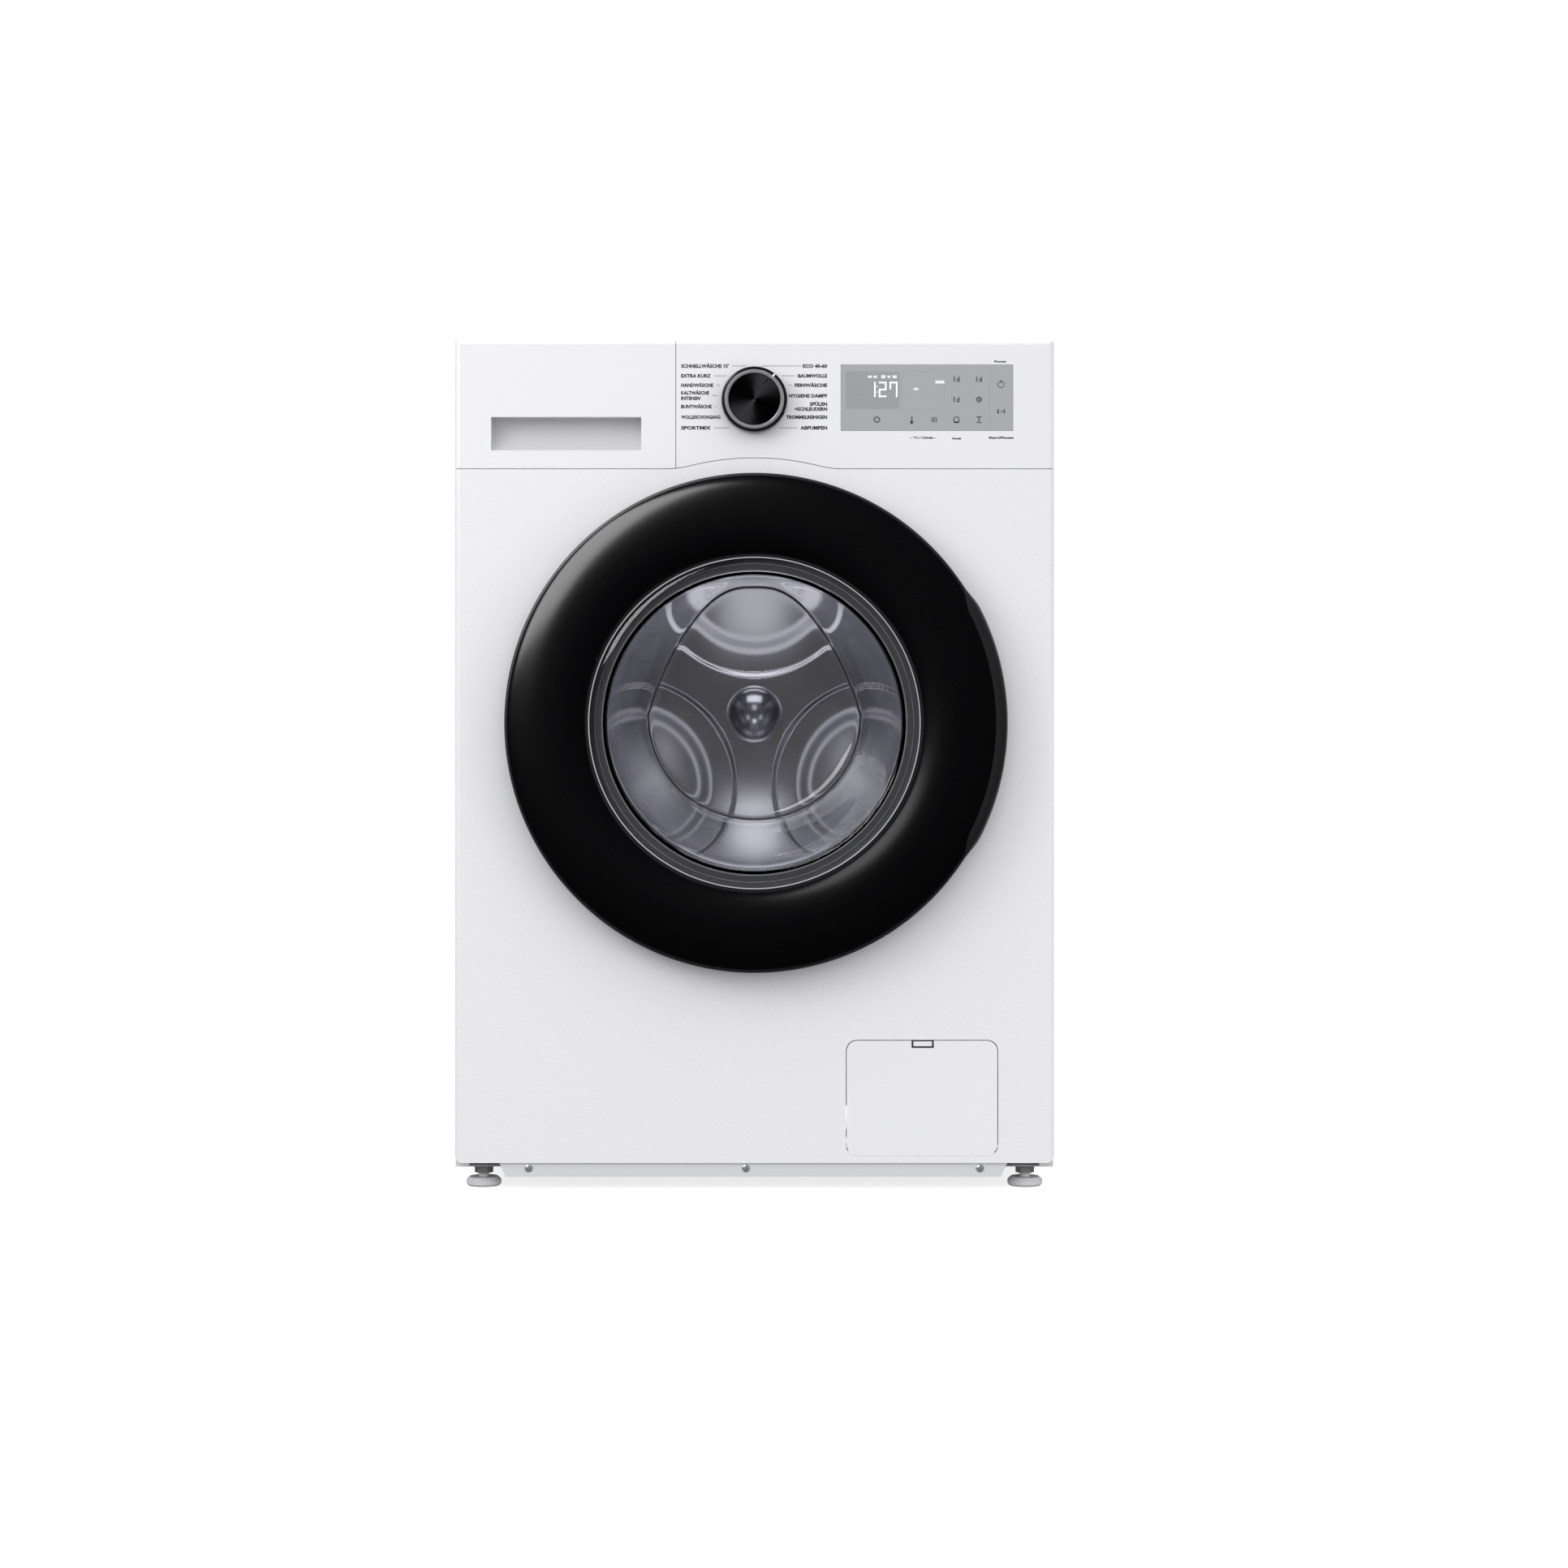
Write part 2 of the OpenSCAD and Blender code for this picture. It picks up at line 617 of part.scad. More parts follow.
module door_cover_ring() color(dark) difference() {
    turned(door_z) polygon([
        [245, -291.2], [244, -293], [241, -295.6], [236, -298.3], [229, -300.9], [220, -303.1],
            [210, -304.5], [200, -305],
        [190, -304.3], [181, -302], [174, -298.5], [169.6, -294.5], [168.6, -290], [171.2, -290],
            [172, -292.8], [176, -296],
        [183, -299.5], [191, -301.7], [200, -302.5], [210, -302], [219.5, -300.6], [228, -298.5],
            [235, -295.9], [239.6, -293.5], [242.4, -291.2]]);
    // stepped back under the wider rim at the grip
    intersection() {
        turned(door_z) square_of([238.6, 250, y_crown - 1, y_front - 20]);
        at_door() plate([y_crown - 5, y_front]) sector(30.2, 320);
    }
}

module glass_gasket() color([0.03, 0.03, 0.03]) turned(door_z) polygon([
    [glass_radius + 0.4, y_front - 33], [168.3, y_front - 33], [168.3, y_front - 26.1],
        [glass_radius + 0.4, y_front - 26.1]]);

module glass_bowl() color([0.75, 0.80, 0.84, 0.35]) turned(door_z) {
    b = y_front + bowl_depth;
    polygon([
        [glass_radius, -290.5], [glass_radius, -286.2], [150.5, -286.2], [149.4, -262], [146.5, -225],
            [142, -190],
        [137, b - 12], [133, b - 4.5], [126, b - 1], [100, b + 1], [50, b + 2.6], [0, b + 3],
        [0, b - 1.5], [50, b - 1.9], [100, b - 3.4], [124, b - 5.2], [129, b - 8.6], [132.6, b - 14],
        [137.6, -190], [142, -225], [144.8, -262], [145.6, -290.5]]);
}

module door_inner_frame() color([0.10, 0.10, 0.11]) difference() {
    union() {
        turned(door_z) square_of([152, 243.2, y_front - 6.5, y_front - 4]);
        turned(door_z) square_of([152, 155, y_front - 26, y_front - 2.6]);
        turned(door_z) square_of([163.6, 168.2, y_front - 25.2, y_front - 6]);
        turned(door_z) square_of([152, 168.2, y_front - 26, y_front - 24]);
        // block that carries the latch hook
        box([latch_x - 15, 222], [y_front - 22, y_front - 4], [door_z - 20, door_z + 20]);
        // ribs
        for (a = [0 : 45 : 315]) at_door() rotate([0, a + 22.5, 0])
            box([168, 225], [y_front - 22, y_front - 5], [-1, 1]);
    }
    // step out of the grip's finger space
    at_door() intersection() {
        tube_y(270, 225.1, [y_front - 24, y_front], 0, 0);
        plate([y_front - 30, y_front]) sector(26, 300);
    }
    // hook's slot and its pin bore
    box([latch_x - 10, latch_x + 9.5], [y_front - 19, y_front], [door_z - 7, door_z + 7]);
    rod_z(2.56, [door_z - 15, door_z + 15], latch_x, latch_y);
    hinge_pockets();
    // room for the hinge leaf's knuckle and plate
    box([-245, hinge_x + 46], [y_front - 31, y_front - 15.5], [door_z - 31, door_z + 31]);
    rod_z(6.8, [door_z - 31, door_z + 31], hinge_x, hinge_y);
    box([-245, hinge_x + 8], [y_front - 31, y_front - 13], [door_z - 31, door_z + 31]);
}

module door_hinge_leaf() color(zinc) {
    translate([hinge_x, hinge_y, door_z]) {
        rod_z(6, [-30.5, 30.5], 0, 0);
        rod_z(pin_r, [-39, 39], 0, 0);
    }
    difference() {
        box([hinge_x, hinge_x + 44], [y_front - 20.5, y_front - 16.5], [door_z - 30, door_z + 30]);
        for (z = [-20, 20]) rod_y(2.2, [y_front - 22, y_front - 14], hinge_x + 34, door_z + z);
    }
}

module latch_hook() color([0.80, 0.80, 0.78]) {
    z0 = door_z - 6;
    rod_z(2.5, [door_z - 14.5, door_z + 14.5], latch_x, latch_y);
    translate([0, 0, z0]) linear_extrude(12) {
        translate([latch_x, latch_y]) circle(5.2);
        polygon([[latch_x - 4, latch_y], [latch_x + 4, latch_y], [latch_x + 4, y_front + 24],
            [latch_x - 1, y_front + 29], [latch_x - 8.5, y_front + 20], [latch_x - 8.5, y_front + 17.5],
            [latch_x - 4, y_front + 17.5]]);
    }
}

// ---------- detergent drawer ----------

module drawer_front() color(white) {
    r = recess;
    difference() {
        union() {
            fascia_shell(drawer_x0, drawer_x1);
            box([r[0] - 2, r[1] + 2], [y_front + 1, y_front + scoop_depth + 2], [r[2] - 2, r[3] + 2]);
            // right end wall
            box([drawer_x1 - 2.5, drawer_x1], [y_front + 1, y_side], [fascia_z + seam, cabinet_height - 2]);
        }
        // scooped handle recess: square under its top edge, curving out to the front at the bottom
        intersection() {
            box([r[0], r[1]], [y_front - 1, y_front + scoop_depth], [r[2], r[3]]);
            rod_x(scoop_depth + 12, [r[0] - 1, r[1] + 1], y_front - 12, r[3] - 1);
        }
        plate([y_front - 1, y_front + 20]) hood_outline(seam);
    }
}

module drawer_tray() color([0.90, 0.91, 0.92]) {
    t = tray;
    y0 = tray_y0;
    y1 = tray_y1;
    difference() {
        union() {
            box([t[0], t[1]], [y0, y1], [t[2], t[3]]);
        }
        // wash, prewash and softener compartments
        box([t[0] + 2, -214], [y0 + 2, y1 - 2], [t[2] + 2, t[3] + 1]);
        box([-212, -148], [y0 + 2, y1 - 2], [t[2] + 2, t[3] + 1]);
        box([-146, t[1] - 2], [y0 + 2, y1 - 2], [t[2] + 2, t[3] + 1]);
        // rear of the walls steps down
        box([t[0] - 1, t[1] + 1], [y1 - 40, y1 + 1], [t[3] - 14, t[3] + 1]);
    }
    // siphon tube in the softener compartment
    tube_z(4, 2.6, [t[2] + 1, t[3] - 20], -180, -20);
}

module siphon_cap() color([0.35, 0.55, 0.75]) difference() {
    union() {
        rod_z(7, [tray[2] + 3, tray[3] - 14], -180, -20);
        box([-211, -149], [-44, 4], [tray[3] - 20, tray[3] - 17]);
    }
    rod_z(5, [tray[2] + 2, tray[3] - 16], -180, -20);
}

// ---------- knob ----------

module knob_body() color(dark) {
    turned(knob_z)
        polygon([[0, y_front - 14], [25.9, y_front - 14], [25.9, y_front - 15], [29.7, y_front - 15],
        [29.7, y_front - 16.2], [31, y_front - 16.2], [32.4, y_front - 15], [knob_radius, y_front - 11],
        [knob_radius, y_front - 1.2], [0, y_front - 1.2]]);
    rod_y(4, [y_front - 1.5, y_front + 21], 0, knob_z);
}

module knob_ring() color([0.85, 0.85, 0.86]) turned(knob_z)
    polygon([[26.0, y_front - 15], [29.6, y_front - 15], [29.6, y_front - 16.4], [28.8, y_front - 17.3],
    [26.8, y_front - 17.3], [26.0, y_front - 16.5]]);

module knob_cap() color([0.32, 0.32, 0.33]) difference() {
    turned(knob_z)
        polygon([[0, y_front - 14], [25.8, y_front - 14], [25.8, y_front - 16], [25.2, y_front - 16.5],
        [0, y_front - 16.7]]);
    // pointer notch
    translate([0, 0, knob_z]) rotate([0, -55, 0]) box([18, 27], [y_front - 17.5, y_front - 15.8], [-1, 1]);
}

// ---------- service flap and filter cap ----------

module filter_flap() color(white) {
    f = [flap[0] + 0.3, flap[1] - 0.3, flap[2] + 0.3, flap[3] - 0.3];
    difference() {
        intersection() {
            union() {
                box([f[0], f[1]], [y_front - 0.2, y_front + 2.3], [f[2], f[3]]);
                rod_x(2.2, [f[0], f[1]], flap_axis[0], flap_axis[1]);
                box([f[0] + 6, f[1] - 6], [y_front + 2, y_front + 5], [f[3] - 6, f[3] - 4]);
            }
            plate([y_front - 3, y_front + 8]) round_rect(f, 10.5);
        }
        // finger notch
        box([flap_notch[0], flap_notch[1]], [y_front - 2, y_front + 6], [flap_notch[2], f[3] + 1]);
    }
    // notch frame, set back
    difference() {
        box([flap_notch[0] - 2, flap_notch[1] + 2], [y_front + 2.3, y_front + 9],
            [flap_notch[2] - 2, f[3] - 4]);
        box([flap_notch[0], flap_notch[1]], [y_front + 2, y_front + 8], [flap_notch[2], f[3]]);
    }
    for (x = [[flap[0] - 6, flap[0] + 13], [flap[1] - 13, flap[1] + 6]])
        rod_x(1.5, x, flap_axis[0], flap_axis[1]);
}

module filter_cap() color([0.16, 0.30, 0.42]) translate([pump_x, 0, pump_z]) {
    rod_y(31, [y_front + 15.5, y_front + 19.8], 0, 0);
    difference() {
        rod_y(24.95, [y_front + 19.7, y_front + 42], 0, 0);
        rod_y(20, [y_front + 24, y_front + 43], 0, 0);
    }
    // lint fingers
    for (a = [45 : 90 : 315]) rotate([0, a, 0]) box([17, 20.5], [y_front + 41, y_front + 85], [-3, 3]);
    tube_y(20.5, 17, [y_front + 84, y_front + 88], 0, 0);
    box([-24, 24], [y_front + 10, y_front + 16], [-4.5, 4.5]);
}

// ---------- feet ----------

module foot(x, y) color([0.78, 0.78, 0.78]) translate([x, y, 0]) {
    rotate_extrude()
        polygon([[0, 0], [foot_radius - 2, 0], [foot_radius, 2], [foot_radius, 6],
        [foot_radius - 3, foot_height], [0, foot_height]]);
    rod_z(5, [foot_height - 1, 52], 0, 0);
}

module foot_front_left() foot(-foot_x, foot_front_y);

module foot_front_right() foot(foot_x, foot_front_y);

module foot_rear_left() foot(-foot_x, foot_rear_y);

module foot_rear_right() foot(foot_x, foot_rear_y);

// ---------- tub, hung on springs ----------

module tub_front() color(tubgrey) {
    f = tub_front_y;
    ro = tub_radius + 3;
    difference() {
        union() {
            turned(drum_z)
                polygon([[172, f - 15], [175, f - 15], [175, f], [ro, f], [ro, -5], [ro + 7, -5],
                [ro + 7, 0], [tub_radius, 0], [tub_radius, f + 3.5], [172, f + 3.5]]);
            rod_z(20, [205, 262], sump[0], sump[1]);
            rod_z(18, [690, 728], fill[0], fill[1]);
            // damper lugs on the seam's front side
            for (s = [-1, 1]) box([s * damper_x - 14, s * damper_x + 14], [-22, -9.2], [222, 262]);
        }
        rod_z(16.5, [204, 263], sump[0], sump[1]);
        rod_z(15, [680, 729], fill[0], fill[1]);
        rod_y(tub_radius, [f + 3.5, 1], 0, drum_z);
    }
}

module tub_rear() color(tubgrey) {
    b = tub_back_y;
    ro = tub_radius + 3;
    difference() {
        union() {
            turned(drum_z)
                polygon([[30, b - 3.5], [tub_radius, b - 3.5], [tub_radius, 0], [ro + 7, 0], [ro + 7, 5],
                [ro, 5], [ro, b], [30, b]]);
            tube_y(38, 26.05, [b - 16, b + 26], 0, drum_z);
            intersection() {
                for (a = [0 : 30 : 330]) translate([0, 0, drum_z]) rotate([0, a, 0])
                    box([36, ro], [b - 0.5, b + 16], [-1.5, 1.5]);
                rod_y(ro, [b - 1, b + 20], 0, drum_z);
            }
            tube_y(152, 149, [b - 0.5, b + 12], 0, drum_z);
            // spring lugs
            for (s = [-1, 1]) box([s * spring_x - 4, s * spring_x + 4], [spring_y - 8, spring_y + 8],
                [540, 628]);
        }
        rod_y(tub_radius, [-1, b - 3.5], 0, drum_z);
        for (s = [-1, 1]) rod_x(3.2, [s * spring_x - 6, s * spring_x + 6], spring_y, 620.5);
        // heater flange opening
        plate([b - 5, b + 20]) round_rect([-38, 38, 202, 224], 8);
    }
}

module counterweight_front() color(concrete) difference() {
    rod_y(270, [tub_front_y - 30, tub_front_y], 0, drum_z);
    rod_y(195, [tub_front_y - 31, tub_front_y + 1], 0, drum_z);
    // split into an upper and a lower casting
    box([-280, 280], [tub_front_y - 31, tub_front_y + 1], [drum_z - 4, drum_z + 4]);
    for (a = [30 : 60 : 330]) translate([0, 0, drum_z]) rotate([0, a, 0]) {
        rod_y(13, [tub_front_y - 31, tub_front_y - 18], 232, 0);
        rod_y(5, [tub_front_y - 31, tub_front_y + 1], 232, 0);
    }
}

module counterweight_top() color(concrete) difference() {
    box([-60, 125], [-125, 50], [700, 795]);
    rod_y(tub_radius + 3.05, [-130, 60], 0, drum_z);
    rod_y(tub_radius + 10.3, [-6, 6], 0, drum_z);
    for (x = [-30, 95], y = [-95, 25]) {
        rod_z(5, [690, 796], x, y);
        rod_z(11, [780, 796], x, y);
    }
}

module motor_body() color([0.45, 0.46, 0.48]) difference() {
    union() {
        rod_y(55, [45, 185], 0, motor_z);
        for (y = [[60, 72], [150, 162]]) box([-44, 44], y, [motor_z, 214]);
        rod_y(20, [36, 46], 0, motor_z);
        rod_y(20, [184, 194], 0, motor_z);
    }
    rod_y(tub_radius + 3.1, [40, 190], 0, drum_z);
    rod_y(40, [52, 178], 0, motor_z);
    rod_y(8.05, [30, 200], 0, motor_z);
    // cooling slots
    for (a = [0 : 45 : 315]) translate([0, 0, motor_z]) rotate([0, a + 22.5, 0])
        box([-3, 3], [80, 145], [38, 60]);
}

module heater_element() color(steel) {
    z = drum_z - 258;
    for (s = [-1, 1]) rod_y(4, [-80, tub_back_y + 8], s * 25, z);
    rod_x(4, [-25, 25], -80, z);
    for (s = [-1, 1]) translate([s * 25, -80, z]) sphere(4);
    plate([tub_back_y - 4, tub_back_y + 4]) round_rect([-37.6, 37.6, 202.4, 223.6], 7.8);
    for (s = [-1, 1]) box([s * 25 - 0.4, s * 25 + 0.4], [tub_back_y + 8, tub_back_y + 20], [z - 3, z + 3]);
}

module tub_bearings() color(steel) for (y = [tub_back_y - 14, tub_back_y + 10]) {
    tube_y(26, 21.5, [y, y + 15], 0, drum_z);
    tube_y(17.5, 12.56, [y, y + 15], 0, drum_z);
    tube_y(21.6, 17.4, [y + 1, y + 14], 0, drum_z);
}

module damper_rods() color(zinc) for (x = [-damper_x, damper_x]) {
    rod_z(8, [60, 236], x, 0);
    difference() {
        box([x - 9, x + 9], [-9, 9], [232, 246]);
        rod_y(tub_radius + 10.3, [-10, 10], 0, drum_z);
    }
}

module drive_belt() color(dark) {
    d = drum_z - motor_z;
    r1 = pulley_radius + 0.6;
    r2 = motor_pulley_radius + 0.6;
    difference() {
        belt_outline(d, r1 + 4, r2 + 4);
        translate([0, -1, 0]) belt_outline(d, r1, r2, 2);
    }
}

// loop around both pulleys: two discs and the tangent quadrilateral between them
module belt_outline(d, r1, r2, over = 0) {
    a = asin((r1 - r2) / d);
    plate([belt_y[0], belt_y[1] + over]) {
        translate([0, drum_z]) circle(r1);
        translate([0, motor_z]) circle(r2);
        polygon([
            [r1 * cos(a), drum_z - r1 * sin(a)], [-r1 * cos(a), drum_z - r1 * sin(a)],
            [-r2 * cos(a), motor_z - r2 * sin(a)], [r2 * cos(a), motor_z - r2 * sin(a)]]);
    }
}

// ---------- flexible pieces ----------

module door_seal() color(rubber) turned(door_z) {
    square_of([160.6, 171, y_front - 2, y_front - 0.2]);
    square_of([160.6, 164.8, y_front - 2, y_front + 12]);
    band([[162.7, y_front + 11], [184, y_front + 16], [184, y_front + 25], [166.5, y_front + 31],
        [166.5, y_front + 40], [179.3, y_front + 45], [179.3, y_front + 64]], 2.6);
}

module spring(x) {
    turns = 11;
    steps = 12;
    sides = 6;
    r = 13;
    wire = 2.4;
    z0 = 632;
    z1 = 782;
    n = turns * steps;
    function ring(i) = [for (k = [0 : sides - 1])
        let(a = 360 * i / steps, b = 360 * k / sides) [x + (r + wire * cos(b)) * cos(a),
        spring_y + (r + wire * cos(b)) * sin(a), z0 + (z1 - z0) * i / n + wire * sin(b)]];
    points = [for (i = [0 : n]) each ring(i)];
    faces = concat(
        [for (i = [0 : n - 1], k = [0 : sides - 1]) each [
            [i * sides + k, i * sides + (k + 1) % sides, (i + 1) * sides + (k + 1) % sides],
            [i * sides + k, (i + 1) * sides + (k + 1) % sides, (i + 1) * sides + k]]],
        [[for (k = [sides - 1 : -1 : 0]) k]],
        [[for (k = [0 : sides - 1]) n * sides + k]]);
    polyhedron(points, faces);
}

module suspension_springs() color(zinc) for (s = [-1, 1]) {
    x = s * spring_x;
    spring(x);
    // straight ends hooked through the lug and the crossbar's tab
    for (z = [620.5, 793.5]) rod_x(2.6, [x - 12, x + 14], spring_y, z);
    for (z = [[620.5, 634], [780, 793.5]]) rod_z(2.4, z, x + 13, spring_y);
    for (z = [620.5, 793.5]) translate([x + 13.2, spring_y, z]) sphere(2.6);
}

module bellows(x, y, z0, z1, r, n) {
    p = (z1 - z0 - 24) / n;
    translate([x, y, 0]) rotate_extrude() {
        square_of([r, r + 2.6, z0, z0 + 13]);
        square_of([r, r + 2.6, z1 - 13, z1]);
        for (i = [0 : n - 1]) {
            z = z0 + 12 + i * p;
            polygon([[r, z], [r + 2.6, z], [r + 8.6, z + p / 2], [r + 2.6, z + p], [r, z + p],
                [r + 6, z + p / 2]]);
        }
    }
}

module sump_hose() color([0.12, 0.12, 0.13]) bellows(sump[0], sump[1], pump_z + 60, 226, 20.3, 5);

module fill_hose() color([0.12, 0.12, 0.13]) bellows(fill[0], fill[1], 716, 755, 18.3, 3);

// ---------- drum ----------

module drum_shell() color(steel) {
    f = drum_front;
    b = drum_back_y + 6;
    r = drum_radius;
    turned(drum_z) polygon([
        [160.5, f + 6], [160.5, f - 3.2], [167.8, f - 7.5], [r - 8.8, f - 4.5], [r - 2.5, f - 0.3],
            [r + 0.8, f + 6.9], [r + 0.8, b],
        [r, b], [r, f + 7.1], [r - 3.3, f + 0.4], [r - 9.1, f - 3.5], [168.2, f - 6.5], [161.5, f - 2.7],
            [161.5, f + 6]]);
}

module drum_back() color(steel) difference() {
    union() {
        rod_y(drum_radius - 0.1, [drum_back_y - 2, drum_back_y], 0, drum_z);
        // pressed Y: three raised arms and a ring
        for (a = lifter_angles) translate([0, 0, drum_z]) rotate([0, -a, 0])
            plate([drum_back_y - 9, drum_back_y - 1])
            polygon([[0, -34], [120, -30], [225, -52], [225, 52], [120, 30], [0, 34]]);
        turned(drum_z)
            polygon([[0, drum_back_y - 18], [10, drum_back_y - 17.4], [18, drum_back_y - 15.4],
            [23, drum_back_y - 12.6], [25, drum_back_y - 9], [25, drum_back_y - 1], [0, drum_back_y - 1]]);
    }
    // hollow behind the pressing
    for (a = lifter_angles) translate([0, 0, drum_z]) rotate([0, -a, 0])
        plate([drum_back_y - 7.5, drum_back_y + 1])
        polygon([[26, -31], [119, -27], [222, -48], [222, 48], [119, 27], [26, 31]]);
}

module drum_lifters() color([0.80, 0.81, 0.82]) for (a = lifter_angles) translate([0, 0, drum_z])
    rotate([0, -a, 0]) difference() {
    intersection() {
        plate([drum_front + 42, drum_back_y - 40])
            polygon([[drum_radius + 2, -36], [drum_radius - 22, -22], [drum_radius - 46, -13],
            [drum_radius - 50, -7], [drum_radius - 50, 7], [drum_radius - 46, 13], [drum_radius - 22, 22],
            [drum_radius + 2, 36]]);
        rod_y(drum_radius - 0.1, [drum_front, drum_back_y], 0, 0);
    }
    plate([drum_front + 44.5, drum_back_y - 42.5])
        polygon([[drum_radius + 3, -32], [drum_radius - 22, -18], [drum_radius - 46, -9],
        [drum_radius - 46, 9], [drum_radius - 22, 18], [drum_radius + 3, 32]]);
}

module drum_shaft() color([0.55, 0.56, 0.58]) {
    rod_y(12.5, [drum_back_y + 4, 236], 0, drum_z);
    rod_y(34, [drum_back_y + 0.1, drum_back_y + 14], 0, drum_z);
    for (a = lifter_angles) translate([0, 0, drum_z]) rotate([0, -a, 0]) {
        plate([drum_back_y + 0.1, drum_back_y + 6]) polygon([[10, -20], [236, -11], [236, 11], [10, 20]]);
        box([20, 236], [drum_back_y + 1, drum_back_y + 15], [-3, 3]);
    }
}

module drum_pulley() color([0.62, 0.63, 0.64]) translate([0, 0, drum_z]) {
    difference() {
        union() {
            tube_y(pulley_radius, pulley_radius - 6, [212, 230], 0, 0);
            rod_y(26, [210.5, 232], 0, 0);
            for (a = [0 : 60 : 300]) rotate([0, a, 0]) box([20, pulley_radius - 4], [218, 222], [-11, 11]);
        }
        rod_y(12.55, [205, 233.5], 0, 0);
    }
}

module motor_rotor() color([0.50, 0.51, 0.52]) {
    rod_y(8, [32, 232], 0, motor_z);
    rod_y(39.4, [56, 174], 0, motor_z);
    turned(motor_z) polygon([[0, 211], [motor_pulley_radius, 211], [motor_pulley_radius, 231], [0, 231]]);
}

module pump_impeller() color([0.85, 0.86, 0.87]) translate([pump_x, 0, pump_z]) {
    rod_y(3, [-128, -82], 0, 0);
    rod_y(24, [-106, -103], 0, 0);
    for (a = [0 : 60 : 300]) rotate([0, a, 0]) box([2, 28], [-124, -104], [-1, 1]);
}

left_side_panel();
right_side_panel();
back_panel();
rear_covers();
front_panel();
top_cover();
control_fascia();
display_window();
base_frame();
front_rail();
fasteners();
spring_crossbar();
dispenser_housing();
inlet_valve();
control_box();
mains_gland();
drain_pump();
drain_pipe();
door_lock();
hinge_bracket();
damper_cylinders();
door_rim();
door_cover_ring();
glass_gasket();
glass_bowl();
door_inner_frame();
door_hinge_leaf();
latch_hook();
drawer_front();
drawer_tray();
siphon_cap();
knob_body();
knob_ring();
knob_cap();
filter_flap();
filter_cap();
foot_front_left();
foot_front_right();
foot_rear_left();
foot_rear_right();
tub_front();
tub_rear();
counterweight_front();
counterweight_top();
motor_body();
heater_element();
tub_bearings();
damper_rods();
drive_belt();
door_seal();
suspension_springs();
sump_hose();
fill_hose();
drum_shell();
drum_back();
drum_lifters();
drum_shaft();
drum_pulley();
motor_rotor();
pump_impeller();
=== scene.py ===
"""Front load washing machine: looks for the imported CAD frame.

Lengths are millimetres until they reach a mesh. The front faces -Y. Angles about the door and the drum are
in degrees, 0 at three o'clock and 90 at twelve.
"""

import json
import math

import bmesh
import bpy
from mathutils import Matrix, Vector


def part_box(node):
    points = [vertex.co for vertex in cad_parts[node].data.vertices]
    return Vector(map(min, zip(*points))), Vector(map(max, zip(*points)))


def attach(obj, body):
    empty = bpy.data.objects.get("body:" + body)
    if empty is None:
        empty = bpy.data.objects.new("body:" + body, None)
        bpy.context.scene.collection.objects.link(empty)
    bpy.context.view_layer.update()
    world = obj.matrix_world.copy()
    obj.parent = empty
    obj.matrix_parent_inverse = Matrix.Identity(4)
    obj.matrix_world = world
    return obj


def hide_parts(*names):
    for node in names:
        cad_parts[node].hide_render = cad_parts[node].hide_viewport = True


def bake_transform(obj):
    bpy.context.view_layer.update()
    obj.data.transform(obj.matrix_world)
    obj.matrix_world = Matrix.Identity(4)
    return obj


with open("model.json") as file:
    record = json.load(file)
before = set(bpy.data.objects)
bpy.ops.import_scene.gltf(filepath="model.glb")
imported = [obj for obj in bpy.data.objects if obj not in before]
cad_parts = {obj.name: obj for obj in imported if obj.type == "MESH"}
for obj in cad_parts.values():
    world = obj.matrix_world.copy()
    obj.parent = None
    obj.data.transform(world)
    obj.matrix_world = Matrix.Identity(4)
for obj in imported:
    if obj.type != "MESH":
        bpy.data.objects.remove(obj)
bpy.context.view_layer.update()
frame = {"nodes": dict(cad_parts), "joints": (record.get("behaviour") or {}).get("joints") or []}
NODES = frame["nodes"]
JOINTS = {joint["name"]: joint for joint in frame["joints"]}
MM = 0.001


def corners(node):
    """Lowest and highest corner of a CAD node's box, in mm."""
    low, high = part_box(node)
    return low / MM, high / MM


# ---------- driving sizes, in mm ----------

# read from the frame
FRONT = corners("front_panel")[0].y            # outer face of the front panel
CROWN = corners("door_cover_ring")[0].y        # most forward line of the door
DOOR_Z = sum(corner.z for corner in corners("glass_bowl")) / 2
DRUM_Z = JOINTS["drum_spin"]["pos_m"][2] / MM
KNOB_Z = JOINTS["knob_turn"]["pos_m"][2] / MM
DISPLAY_FACE = corners("display_window")[0].y
SPRING_LOW, SPRING_HIGH = corners("suspension_springs")

# door
DOOR_R = 248.0              # outer radius
GRIP_R = 251.3              # outer radius over the bulge at the grip
GRIP_HALF = 30.0            # degrees each side of three o'clock that the bulge takes up
GRIP_BLEND = 6.0            # degrees over which the bulge runs out
GRIP_POCKET = 25.0          # half angle of the finger space behind the grip
HINGE_SLOT = (7.3, 9.1)     # degrees either side of the hinge that the bracket's arms pass through
SEAM_R = 245.0              # seam between the gloss ring and the rim
SEAM_GRIP_R = 238.6         # the same seam beside the grip
SEAM_GAP = 0.35             # width of that seam
RIM_WALL_R = 243.5          # inside of the rim's side wall
RIM_HINGE_WALL_R = 244.4    # the same between the hinge's arms
RIM_INNER_R = 238.0         # inner edge of the rim's back
CREST_R = 200.0             # most forward circle of the gloss ring
CREST_DROP = 14.6           # how far the ring falls back from its crest
RING_IN_R = 168.7           # gloss ring's inner edge
RING_BACK = 30.2            # how far the ring's back lies in front of the front panel
RING_STEPS = 44             # steps across the ring's front

